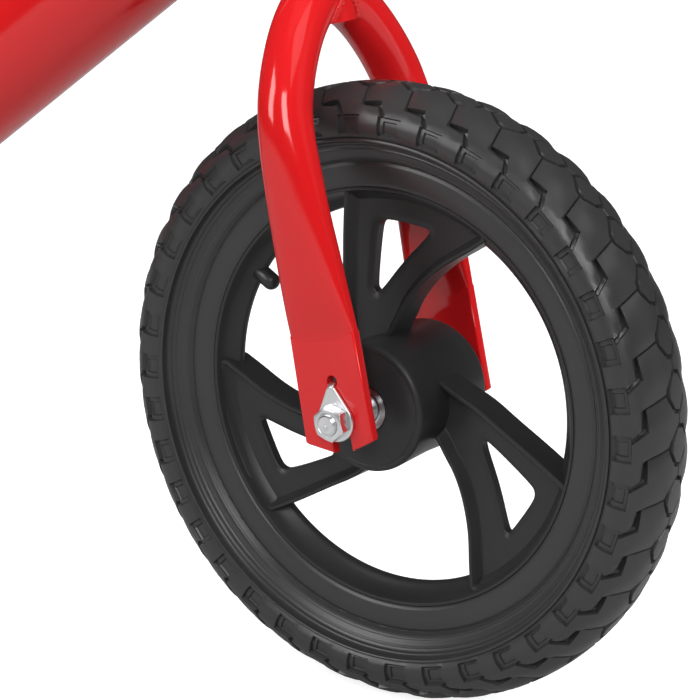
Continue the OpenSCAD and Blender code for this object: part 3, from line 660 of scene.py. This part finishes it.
ARM_OUTLINE = [
    (22, 12), (26.6, 13.8), (36.6, 8.6), (49, 3.6), (60, -3.4), (76, -12.6), (88, -20), (100, -28),
    (91, -45), (80, -62), (66, -78), (46.4, -91), (45.1, -75.7), (44.6, -60.7), (43, -50.7), (40.4, -40.7),
    (36.2, -30.7), (30.5, -22.7), (25.6, -14.7), (22, -12)
]
ARM_WINDOW = [
    (47.2, -15.8), (49, -13.8), (52, -14.2), (75, -30.6), (77, -34), (76.2, -38.4), (64.4, -55.8),
    (62.4, -56.8), (60.9, -55.2), (55.4, -35.6)
]
WEB_HEIGHT = 3.6
LIP_PROFILE = [(0, 8.3), (0.6, 9.0), (1.7, 9.0), (2.3, 8.4), (4.2, 4.6), (5.0, 3.8), (6.0, WEB_HEIGHT)]
WINDOW_PROFILE = [(0, 2.3), (0.8, 2.9), (3.2, 3.4), (4.2, WEB_HEIGHT)]
RIM_SECTION = [
    (98.5, 0), (98.5, 3.9), (100.2, 5.6), (102.05, 6.4), (102.05, 11.0), (101.8, 11.4), (101.2, 11.5),
    (100.4, 11.2), (99.9, 10.4), (99.4, 8.8), (97.4, 6), (94.6, 3.2), (93.4, 2.4), (92.4, 1.2), (92.2, 0)
]
HUB_SECTION = [
    (9, 22.7), (11.05, 22.7), (11.05, 28.2), (11.6, 28.75), (27.0, 28.75), (27.6, 28.5), (28.1, 28.75),
    (29.2, 28.65),
    (30.2, 28.1), (30.8, 27.2), (31, 26.1), (30.6, 14), (30.2, 0)
]


def arm_half(_, from_edge, from_hole):
    lip = np.interp(from_edge, *zip(*LIP_PROFILE))
    dish = np.interp(from_hole, *zip(*WINDOW_PROFILE))
    return float(lip + min(dish - WEB_HEIGHT, 0))


def whole(half):
    """A half section with its mirror image, as one closed outline."""
    return half + [(r, -y) for r, y in reversed(half) if y > 0]


def rim_shape():
    arm = relief(
        softened(ARM_OUTLINE, 3), [softened(ARM_WINDOW, 3)],
        [d for d, _ in LIP_PROFILE[1:]], [d for d, _ in WINDOW_PROFILE[1:]], arm_half
    )
    arm = moved(arm, UPRIGHT)
    arms = [moved(arm, Matrix.Rotation(math.radians(120 * k), 4, "Y")) for k in range(3)]
    hub = revolved(whole(HUB_SECTION), 120, closed=True)
    rim = revolved(whole(RIM_SECTION), 240, closed=True)
    return joined(rim, hub, *arms)


VALVE_ANGLE = math.radians(149.5)
CAP_RADIUS = 4.3
CAP_MID = 87.2  # the round end's centre, from the hub
CAP_END = [
    (0.01 + CAP_RADIUS * math.sin(math.radians(a)), CAP_MID - CAP_RADIUS * math.cos(math.radians(a)))
    for a in range(0, 91, 10)
]
CAP_SECTION = CAP_END + [
    (CAP_RADIUS, 95.9), (4.0, 96.3), (3.4, 96.3), (3.4, 90), (2.43, 89.98), (2.43, 83.9), (0.01, 83.9)
]
VALVE_TURN = Matrix.Rotation(math.pi / 2 - VALVE_ANGLE, 4, "Y") @ Matrix.Rotation(math.pi / 2, 4, "X")


def add_wheel(side, place, body):
    add_piece(f"{side}_valve_cap_round", moved(revolved(CAP_SECTION, 72), VALVE_TURN), place, body,
              "cap_plastic", [f"{side}_valve_cap"], sharp=50)
    add_piece(f"{side}_tyre_tread", tyre_shape(), place, body, "tyre_rubber",
              [f"{side}_tyre"], sharp=32)
    add_piece(f"{side}_wheel_moulding", rim_shape(), place, body, "wheel_plastic",
              [f"{side}_wheel_rim"], sharp=32)


add_wheel("front", FRONT_WHEEL, "front_wheel")
add_wheel("rear", REAR_WHEEL, "rear_wheel")


# ---------- fork legs and rear stays ----------

DROPOUT_MID = 49.25
DROPOUT_HALF = 2.75
LEG_PATH = [
    (36, DROPOUT_MID, 18.4, 2.7, 6), (40, DROPOUT_MID, 18.4, 2.9, 5), (46, 49.6, 18.2, 4.0, 3.8),
    (56, 50, 17.8, 5.7, 3), (74, 50.4, 16.9, 7.9, 2.5), (96, 50.8, 15.6, 9.8, 2.2),
    (118, 50.3, 14.4, 11.2, 2.1), (134, 48.9, 13.3, 12.3, 2), (146, 46, 12.7, 12.7, 2),
    (157, 41, 12.7, 12.7, 2), (167, 34.8, 12.7, 12.7, 2), (175.5, 28.2, 12.7, 12.7, 2),
    (183, 20.6, 12.7, 12.7, 2), (189, 12, 12.7, 12.7, 2), (192, 4, 12.7, 12.7, 2)
]
STAY_PATH = [
    (32, DROPOUT_MID, 16.4, 2.7, 6), (36, DROPOUT_MID, 16.4, 2.9, 5), (42, 49.5, 16.2, 4.0, 3.8),
    (52, 49.8, 15.4, 5.6, 3), (68, 50, 14.2, 7.8, 2.5), (86, 50, 12.9, 9.4, 2.2),
    (104, 49, 11.8, 10.6, 2.1), (118, 47, 11.1, 11.1, 2), (131, 43.2, 11.1, 11.1, 2),
    (144, 37.4, 11.1, 11.1, 2), (157, 30.6, 11.1, 11.1, 2), (170, 24, 11.1, 11.1, 2), (186, 17, 11.1, 11.1, 2)
]
SLOT_RADIUS = 5.1
PLATE_EDGE = 1.2
PLATE_LOW = -15
HOOK_HOLE = (0.96, 18.4)


def dropout_plate(half_width, top):
    """The flattened end with its open axle slot and hook hole, from its lower end to top."""
    lower = half_width + 0.9
    slot = ([(SLOT_RADIUS, PLATE_LOW)] + circle(0, 0, SLOT_RADIUS, 24, 0, math.pi)
            + [(-SLOT_RADIUS, 0), (-SLOT_RADIUS, PLATE_LOW - 0.4)])
    outline = slot[::-1] + [
        (lower - 3.6, PLATE_LOW + 3.4), (lower - 1.6, PLATE_LOW + 4.4), (half_width, top), (-half_width, top),
        (-lower - 1.4, PLATE_LOW + 5.4), (-lower, PLATE_LOW + 4.4)
    ]
    depths = [PLATE_EDGE * (1 - math.cos(math.radians(a))) for a in (22, 45, 68, 90)]
    plate = relief(
        outline, [circle(*HOOK_HOLE, 2.75, 24)], depths, depths[:3],
        lambda p, edge, hole: min(rounded_edge(edge, DROPOUT_HALF, PLATE_EDGE),
                                  rounded_edge(hole, DROPOUT_HALF, 0.6))
    )
    upright = moved(plate, UPRIGHT)
    return moved(upright, Matrix.Translation((0, DROPOUT_MID, 0)))


def leg_shape(path, half_width, sides=64):
    tube = skinned(oval_rings(eased(path, 2.0), sides))
    return joined(tube, dropout_plate(half_width, path[0][0] + 5))


add_piece("fork_leg_left_tube", leg_shape(LEG_PATH, 18.4), FORK, "fork", "red_paint", ["fork_leg_left"], 50)
add_piece("fork_leg_right_tube", leg_shape(LEG_PATH, 18.4), FORK @ MIRROR, "fork", "red_paint",
          ["fork_leg_right"], 50)
add_piece("rear_stay_left_tube", leg_shape(STAY_PATH, 16.4), STAY, "frame", "red_paint",
          ["rear_stay_left"], 50)
add_piece("rear_stay_right_tube", leg_shape(STAY_PATH, 16.4), STAY @ MIRROR, "frame", "red_paint",
          ["rear_stay_right"], 50)


# ---------- axle ends: turned axle, tabbed washers and chamfered nuts ----------

NUT_INNER = 54.04
NUT_OUTER = 60.04
NUT_FLAT = 7.5
NUT_FACE = 6.9
AXLE_HALF = 61.5
WASHER_MIDDLE = 53.02
WASHER_RADIUS = 9.8
WASHER_REACH = 14.2
WASHER_TURN = math.radians(3)
# heights and inward distances of the tab's middle
WASHER_TAB = [(13.2, 0), (15.2, 0), (16.2, -0.25), (16.95, -0.9), (17.3, -1.9), (17.35, -5.2)]
NUT_CONE = 0.577  # how far the chamfer falls for each millimetre outwards
AXLE_SECTION = [
    (0.01, 61.1), (0.9, AXLE_HALF), (4.1, AXLE_HALF), (4.65, AXLE_HALF - 0.55), (4.65, 60.1),
    (4.98, 60.1), (4.98, 0)
]
SHIELD_SECTION = [
    (7.15, 27.8), (7.15, 28.4), (7.4, 28.55), (7.8, 28.3), (8.7, 28.3), (9.0, 28.55), (9.28, 28.4),
    (9.28, 27.8)
]


def nut_section(angle):
    """A hexagon's section at this angle, with a cone over its outer corners."""
    side = NUT_FLAT / math.cos((angle + math.pi / 6) % (math.pi / 3) - math.pi / 6)
    drop = (side - NUT_FACE) * NUT_CONE
    return [
        (5.02, NUT_INNER), (side - 0.3, NUT_INNER), (side, NUT_INNER + 0.3), (side, NUT_OUTER - drop),
        (NUT_FACE, NUT_OUTER), (5.7, NUT_OUTER), (5.02, NUT_OUTER - 0.6)
    ]


def washer_shape():
    """A drop-shaped washer with its hook, turned forward to its hole."""
    outline = (circle(0, 0, WASHER_RADIUS, 48, math.radians(150), math.radians(245))
               + circle(0, WASHER_REACH, 2.7, 12, math.radians(30), math.radians(131)))
    plate = relief(outline, [circle(0, 0, 5.05, 48)], [0.15, 0.4, 0.7], [0.15, 0.4],
                   lambda _, edge, hole: rounded_edge(min(edge, hole), 1.0, 0.7))
    tab = skinned(oval_rings([(z, y, 1.7, 0.9, 6) for z, y in WASHER_TAB], 24))
    whole_washer = joined(moved(plate, UPRIGHT), tab)
    outwards = Matrix.Translation((0, WASHER_MIDDLE, 0))
    return moved(whole_washer, outwards @ Matrix.Rotation(WASHER_TURN, 4, "Y"))


def add_axle_ends(side, place, body, wheel):
    add_piece(f"{side}_axle_turned", revolved(whole(AXLE_SECTION), 72), place, body, "plated_steel",
              [f"{side}_axle"])
    add_piece(f"{side}_washers_tabbed", mirrored(washer_shape()), place, body, "plated_steel",
              [f"{side}_retention_washers"])
    add_piece(f"{side}_nuts_chamfered", mirrored(turned(nut_section, 180, closed=True)), place, body,
              "plated_steel", [f"{side}_axle_nuts"], sharp=30)
    add_piece(f"{side}_shields_pressed", mirrored(revolved(SHIELD_SECTION, 96, closed=True)), place, wheel,
              "bearing_steel", [f"{side}_bearing_shields"])


add_axle_ends("front", FORK, "fork", "front_wheel")
add_axle_ends("rear", STAY, "frame", "rear_wheel")


# ---------- weld runs ----------

def seam(rings, meets):
    """The closed line where a skin's long lines cross a surface, which is where meets() changes sign."""
    line = []
    for k in range(len(rings[0])):
        for ring, following in zip(rings, rings[1:]):
            here, there = meets(ring[k]), meets(following[k])
            if (here > 0) != (there > 0):
                line.append(Vector(ring[k]).lerp(Vector(following[k]), here / (here - there)))
                break
    return line


def weld(line, radius, across, closed=True):
    """A weld run with ripples, like drops laid over each other."""
    loop = np.array([tuple(p) for p in (line + line[:1] if closed else line)])
    along = np.concatenate([[0], np.cumsum(np.linalg.norm(np.diff(loop, axis=0), axis=1))])
    count = int(along[-1] / WELD_STEP)
    stations = np.linspace(0, along[-1], count, endpoint=False)
    path = [Vector([np.interp(at, along, loop[:, i]) for i in range(3)]) for at in stations]
    rings = []
    for i, p in enumerate(path):
        before, after = (i - 1, (i + 1) % count) if closed else (max(i - 1, 0), min(i + 1, count - 1))
        ahead = (path[after] - path[before]).normalized()
        side = ahead.cross(Vector(across)).normalized()
        size = radius * (0.85 + 0.3 * abs(math.sin(math.pi * stations[i] / WELD_RIPPLE)))
        rings.append([
            tuple(p + size * (side * math.cos(TAU * k / 10) + ahead.cross(side) * math.sin(TAU * k / 10)))
            for k in range(10)
        ])
    return skinned(rings + rings[:1], caps=False) if closed else skinned(rings)


WELD_STEP = 0.6
WELD_RIPPLE = 3.1
STEERER_BOTTOM = 178
CROWN_SEAM_RADIUS = 13.0  # just outside the steerer tube

leg_rings = oval_rings(eased(LEG_PATH, 2.0), 64)
leg_seam = seam(leg_rings, lambda p: math.hypot(p[0], p[1]) - CROWN_SEAM_RADIUS)
lowest = min(range(len(leg_seam)), key=lambda i: leg_seam[i].z)
leg_seam = [p for p in leg_seam[lowest:] + leg_seam[:lowest] if p.z > STEERER_BOTTOM]
crown_weld = weld(leg_seam, 1.8, (0, 1, 0), closed=False)
add_piece("fork_crown_welds", mirrored(crown_weld), FORK, "fork", "red_paint", sharp=60)


# ---------- main tube ----------

MAIN_RADIUS = 32
MAIN_LEVEL = 222
MAIN_BEND = 140
MAIN_END = -112
MEETS_AXIS = 274
MAIN_TAPER = [(0, 16.5, 34), (22, 19.5, 34), (45, 25, 33.5), (68, 29.8, 32.6), (92, 32, 32)]


def main_tube_path():
    """[backwards, up, half width, half height, squareness] along the tube, from the head."""
    start = FORK @ Vector((0, 0, MEETS_AXIS)) / MM
    corner_x = start.x - (start.z - MAIN_LEVEL) / math.tan(MAIN_SLOPE)
    tangent = MAIN_BEND * math.tan(MAIN_SLOPE / 2)
    taper = [
        (-start.x + s * math.cos(MAIN_SLOPE), start.z - s * math.sin(MAIN_SLOPE), width, height, 2)
        for s, width, height in eased(MAIN_TAPER, 4)
    ]
    bend = []
    for k in range(17):
        turn = MAIN_SLOPE * (1 - k / 16)
        bend.append((-corner_x + tangent - MAIN_BEND * math.sin(turn),
                     MAIN_LEVEL + MAIN_BEND * (1 - math.cos(turn)), MAIN_RADIUS, MAIN_RADIUS, 2))
    return taper + bend + [(-MAIN_END, MAIN_LEVEL, MAIN_RADIUS, MAIN_RADIUS, 2)]


def lying_back(rings):
    return [[(-along, -u, up) for u, up, along in ring] for ring in rings]


HEAD_RADIUS = 18
HEAD_WALL_MIDDLE = 16.6
SEAT_TUBE_RADIUS = 14.3
from_bike_to_fork = FORK.inverted() @ BIKE
from_seat_to_bike = BIKE.inverted() @ SEAT


def pressed_flat(ring):
    """The ring flattened to its own middle line, which closes an end with upright strips."""
    middle = sum((Vector(p) for p in ring), Vector()) / len(ring)
    return [(middle.x, y, middle.z) for _, y, _ in ring]


def behind_head_bore(rings):
    """The tube's front moved back into the head tube's wall, so that nothing lies in the bore."""
    back = Vector((-math.cos(MAIN_SLOPE), 0, -math.sin(MAIN_SLOPE)))
    pace = -(from_bike_to_fork.to_3x3() @ back).x
    cleared = []
    for ring in rings:
        cleared.append([])
        for point in ring:
            near = from_bike_to_fork @ Vector(point)
            wall = -math.sqrt(max(0, HEAD_WALL_MIDDLE ** 2 - near.y ** 2))
            cleared[-1].append(Vector(point) + back * (max(0, near.x - wall) / pace))
    return cleared


main_rings = lying_back(oval_rings(main_tube_path(), 96))
main_skin = behind_head_bore([pressed_flat(main_rings[0])] + main_rings) + [pressed_flat(main_rings[-1])]
add_piece("main_tube_smooth", skinned(main_skin, caps=False), BIKE, "frame", "red_paint", ["main_tube"], 50)


def outside_head(point):
    near = from_bike_to_fork @ Vector(point)
    return math.hypot(near.x, near.y) - HEAD_RADIUS - 0.2


def outside_main_tube(point):
    near = from_seat_to_bike @ Vector(point)
    return math.hypot(near.y, near.z - MAIN_LEVEL) - MAIN_RADIUS - 0.1


seat_tube_rings = [
    [(x, y, height) for x, y in circle(0, 0, SEAT_TUBE_RADIUS, 64)]
    for height in range(5, 80, 3)
]
main_seam = seam(main_rings, outside_head)
add_piece("head_tube_weld", weld(main_seam, 2.0, (1, 0, 0.7)), BIKE, "frame", "red_paint", sharp=60)
add_piece("seat_tube_weld", weld(seam(seat_tube_rings, outside_main_tube), 1.9, (0, 0, 1)), SEAT, "frame",
          "red_paint", sharp=60)


# ---------- handlebar and grips ----------

BAR_HEIGHT = 425
BAR_RADIUS = 11.1
BAR_STRAIGHT = 55
BAR_SWEEP = math.radians(22)
BAR_BEND = 70
BAR_END = 122
GRIP_START = 28
BAR = FORK @ Matrix.Translation((0, 0, BAR_HEIGHT))


GRIP_FLUTES = 36
FLUTE_DEPTH = 0.28
FLUTED_ABOVE = 15.35  # only the ribs and the flange are this wide


def bar_path():
    half = []
    for k in range(13):
        turn = BAR_SWEEP * k / 12
        half.append((BAR_STRAIGHT + BAR_BEND * math.sin(turn), -BAR_BEND * (1 - math.cos(turn))))
    half.append((half[-1][0] + BAR_END * math.cos(BAR_SWEEP), half[-1][1] - BAR_END * math.sin(BAR_SWEEP)))
    both = [(-out, forward) for out, forward in reversed(half)] + half
    return [(out, forward, BAR_RADIUS, BAR_RADIUS, 2) for out, forward in both]


def grip_shape():
    """A ribbed grip with a flange, along z from its inner end."""
    profile = [(11.15, 0), (18.6, 0), (19.6, 0.4), (20, 1.2), (20, 2.4), (19.5, 3.2), (18.4, 3.5),
               (15.6, 3.7), (14.8, 4.3), (14.6, 5.4)]
    for k in range(9):
        start = 12 + 9 * k
        profile += [(14.6, start), (15.2, start + 0.3), (15.5, start + 0.9), (15.55, start + 2.2),
                    (15.5, start + 3.6), (15.2, start + 4.2), (14.6, start + 4.5)]
    profile += [(14.7, 88.6), (16.4, 89.2), (17.8, 90.2), (18.4, 91.6), (18.5, 94), (18.0, 96.4),
                (16.6, 97.6), (14.6, 98), (4.2, 98), (4.0, 97.8), (3.6, 96.2), (0.01, 96.2)]

    def fluted(angle):
        wave = FLUTE_DEPTH * math.cos(GRIP_FLUTES * angle)
        return [(r + wave if r > FLUTED_ABOVE else r, z) for r, z in profile]

    points, faces = turned(fluted, 144)
    return [(x, y, z) for x, z, y in points], faces


bend_end = (-BAR_BEND * (1 - math.cos(BAR_SWEEP)), BAR_STRAIGHT + BAR_BEND * math.sin(BAR_SWEEP), 0)
grip_place = (
    Matrix.Translation(bend_end)
    @ Matrix.Rotation(BAR_SWEEP, 4, "Z") @ Matrix.Rotation(-math.pi / 2, 4, "X")
    @ Matrix.Translation((0, 0, GRIP_START))
)
bar_rings = [[(forward, out, u) for u, forward, out in ring] for ring in oval_rings(bar_path(), 48)]
add_piece("handlebar_smooth", skinned(bar_rings), BAR, "handlebar", "red_paint", ["handlebar"], 50)
add_piece("grip_left_ribbed", grip_shape(), BAR @ grip_place, "handlebar", "grip_rubber", ["grip_left"])
add_piece("grip_right_ribbed", grip_shape(), BAR @ MIRROR @ grip_place, "handlebar", "grip_rubber",
          ["grip_right"])


# ---------- saddle ----------

SADDLE_LENGTH = 236
SADDLE_AT = (-138, 0, 385)
# along its length, half width, height of the top, squareness
SADDLE_PATH = [
    (-0.5, 20, 16, 2.2), (-0.492, 36, 25, 2.3), (-0.47, 52, 33, 2.4), (-0.42, 65, 37.5, 2.5),
    (-0.35, 72, 38, 2.6), (-0.25, 73, 35, 2.6), (-0.12, 65, 31, 2.5), (0.03, 49, 29, 2.4),
    (0.18, 36, 29, 2.3), (0.33, 29, 31, 2.2), (0.42, 25.5, 32.5, 2.2), (0.47, 20, 31, 2.1),
    (0.492, 13, 26, 2), (0.5, 7, 18, 2)
]
SADDLE = BIKE @ Matrix.Translation(SADDLE_AT)
CUSHION_SWELL = 0.005


def saddle_rings(shrink, under, top, sides):
    """Cross-sections of the saddle, under its edge and up to a share of its full height."""
    rings = []
    for along, half_width, height, power in eased(SADDLE_PATH, 0.02):
        ring = []
        for k in range(sides):
            angle = TAU * k / sides
            up = bulge(angle - TAU / 4, power)
            rise = top * up * (height - shrink) if up > 0 else under * up
            ring.append((along * SADDLE_LENGTH, (half_width - shrink) * bulge(angle, power), rise))
        rings.append(ring)
    return rings


def stuffed(piece, voxel, cap, floor_height):
    """Swells a closed pad by cloth simulation, by at most cap, and keeps it flat below floor_height."""
    remesh = piece.modifiers.new("even_mesh", "REMESH")
    remesh.mode = "VOXEL"
    remesh.voxel_size = voxel
    bake_modifiers(piece)
    rest = [v.co.copy() for v in piece.data.vertices]
    cloth = piece.modifiers.new("cover", "CLOTH")
    cloth.settings.use_pressure = True
    cloth.settings.uniform_pressure_force = 4
    cloth.settings.effector_weights.gravity = 0
    for step in range(1, 21):
        bpy.context.scene.frame_set(step)
    bake_modifiers(piece)
    bpy.context.scene.frame_set(1)
    for vertex, start in zip(piece.data.vertices, rest):
        shift = vertex.co - start
        vertex.co = start + shift * min(1, cap / max(shift.length, 1e-9))
    for vertex in piece.data.vertices:
        vertex.co.z = max(vertex.co.z, floor_height)
    finer = piece.modifiers.new("finer", "SUBSURF")
    finer.levels = 1
    bake_modifiers(piece)
    smooth(piece.data, 60)


def bake_modifiers(piece):
    """The piece's mesh as its modifiers leave it, with no modifier left on it."""
    graph = bpy.context.evaluated_depsgraph_get()
    made = bpy.data.meshes.new_from_object(piece.evaluated_get(graph))
    old, piece.data = piece.data, made
    piece.modifiers.clear()
    bpy.data.meshes.remove(old)


def rail_path():
    line = [(-62, 12), (-55, 3.4), (-51, 0.8), (-46, 0), (46, 0), (51, 0.8), (55, 3.4), (62, 12)]
    return eased([(along, up, 3.5, 3.5, 2) for along, up in line], 2)


def piping(height, grow, radius):
    """A sewn welt round the cushion's lower edge, as a closed ring of small circles."""
    right = [
        (along * SADDLE_LENGTH, half_width + grow)
        for along, half_width, _, _ in eased(SADDLE_PATH, 0.01)
    ]
    loop = right + [(x, -y) for x, y in reversed(right)]
    rings = []
    for i, (x, y) in enumerate(loop):
        before, after = loop[i - 1], loop[(i + 1) % len(loop)]
        across = Vector((after[1] - before[1], before[0] - after[0], 0)).normalized()
        rings.append([
            tuple(Vector((x, y, height)) + across * radius * math.cos(TAU * k / 10)
                  + Vector((0, 0, radius * math.sin(TAU * k / 10)))) for k in range(10)
        ])
    return skinned(rings + rings[:1], caps=False)


cushion = add_piece("saddle_cushion_padded", skinned(saddle_rings(2.5, 3, 1, 48)), SADDLE, "saddle",
                    "saddle_cover", ["saddle_cushion"])
stuffed(cushion, 0.005, CUSHION_SWELL, (SADDLE @ Vector((0, 0, -3))).z)
add_piece("saddle_welt", piping(-2.2, -1.4, 1.5), SADDLE, "saddle", "saddle_cover", sharp=60)
add_piece("saddle_base_smooth", skinned(saddle_rings(2.5, 6, 0.1, 48)), SADDLE, "saddle", "saddle_shell",
          ["saddle_base"], 50)
rail_low, rail_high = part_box("saddle_rails")
rail_middle = (rail_low + rail_high) / 2
RAILS = local_frame((rail_middle.x, 0, rail_low.z + 3.5 * MM))
RAIL_SPREAD = 20
rail_rings = [[(along, RAIL_SPREAD + u, up) for u, up, along in ring] for ring in oval_rings(rail_path(), 24)]
add_piece("saddle_rails_smooth", mirrored(skinned(rail_rings)), RAILS, "saddle", "plated_steel",
          ["saddle_rails"], 50)


# ---------- finishes on the CAD nodes that stay ----------

for part in frame["record"]["subparts"]:
    mesh = frame["nodes"][part["node"]].data
    mesh.materials.clear()
    mesh.materials.append(FINISHES[part["material_slot"]])


# ---------- stage, light and camera ----------

def area_light(name, place, target, size, power, in_gloss=True):
    data = bpy.data.lights.new(name, "AREA")
    data.shape = "RECTANGLE"
    data.size, data.size_y = size
    data.energy = power
    lamp = bpy.data.objects.new(name, data)
    bpy.context.scene.collection.objects.link(lamp)
    lamp.location = place
    lamp.rotation_euler = (Vector(target) - Vector(place)).to_track_quat("-Z", "Y").to_euler()
    lamp.visible_camera = False
    lamp.visible_glossy = in_gloss
    return lamp


floor_material = new_material("pale_floor", (0.5, 0.5, 0.5), 0.9)
floor_shader = floor_material.node_tree.nodes["Principled BSDF"]
floor_shader.inputs["Emission Color"].default_value = (1, 1, 1, 1)
seen = floor_material.node_tree.nodes.new("ShaderNodeLightPath")
floor_material.node_tree.links.new(
    ramp(floor_material, seen.outputs["Is Camera Ray"], 0.0, 0.82), floor_shader.inputs["Emission Strength"])
floor_mesh = bpy.data.meshes.new("floor")
floor_mesh.from_pydata([(-30, -30, 0), (30, -30, 0), (30, 30, 0), (-30, 30, 0)], [], [(0, 1, 2, 3)])
floor_mesh.materials.append(floor_material)
floor = bpy.data.objects.new("floor", floor_mesh)
bpy.context.scene.collection.objects.link(floor)


def world_node(kind, **values):
    node = bpy.context.scene.world.node_tree.nodes.new(kind)
    for key, value in values.items():
        node.inputs[key].default_value = value
    return node


def studio_world(side, dark, bright):
    """A plain surround, white to the camera, and otherwise bright on one side and dark on the other."""
    world = bpy.data.worlds.new("studio")
    world.use_nodes = True
    bpy.context.scene.world = world
    links = world.node_tree.links
    direction = world_node("ShaderNodeTexCoord")
    facing = world_node("ShaderNodeVectorMath")
    facing.operation = "DOT_PRODUCT"
    facing.inputs[1].default_value = side
    turn_to_light = {"From Min": -0.4, "From Max": 0.5, "To Min": dark, "To Max": bright}
    shade = world_node("ShaderNodeMapRange", **turn_to_light)
    seen = world_node("ShaderNodeLightPath")
    choice = world_node("ShaderNodeMix", B=1.0)
    links.new(direction.outputs["Generated"], facing.inputs[0])
    links.new(facing.outputs["Value"], shade.inputs["Value"])
    links.new(seen.outputs["Is Camera Ray"], choice.inputs["Factor"])
    links.new(shade.outputs["Result"], choice.inputs["A"])
    links.new(choice.outputs["Result"], world.node_tree.nodes["Background"].inputs["Strength"])


studio_world((-0.5, 0.75, 0.0), 0.14, 0.9)
# two tall lamps that show in the gloss, and soft boxes that don't
area_light("left_lamp", (-0.88, -1.96, 1.31), (0.25, 0, 0.25), (0.85, 1.3), 26)
area_light("front_lamp", (1.35, -1.91, 1.42), (0.25, 0, 0.25), (0.85, 1.1), 25)
area_light("upper_right_box", (1.7, -0.26, 2.38), (0.25, 0, 0.25), (1.4, 1.2), 6)
area_light("top_softbox", (0.3, -0.2, 2.6), (0.1, 0, 0.15), (1.6, 1.6), 46, in_gloss=False)
area_light("right_softbox", (2.5, 0.6, 0.9), (0.25, 0, 0.2), (1.2, 1.8), 34, in_gloss=False)
area_light("back_softbox", (-1.6, 2.2, 1.8), (-0.1, 0, 0.25), (1.6, 1.6), 20, in_gloss=False)

CAMERA_AT = (0.9784, -1.0638, 0.5370)
CAMERA_AZIMUTH = math.radians(34.64)
CAMERA_DOWN = math.radians(15.99)

camera = bpy.data.objects.new("camera", bpy.data.cameras.new("camera"))
camera.data.lens = 144.15
camera.location = CAMERA_AT
view_direction = Vector((
    -math.sin(CAMERA_AZIMUTH) * math.cos(CAMERA_DOWN),
    math.cos(CAMERA_AZIMUTH) * math.cos(CAMERA_DOWN),
    -math.sin(CAMERA_DOWN)
))
camera.rotation_euler = view_direction.to_track_quat("-Z", "Y").to_euler()
bpy.context.scene.collection.objects.link(camera)
bpy.context.scene.camera = camera
bpy.context.scene.view_settings.view_transform = "Standard"
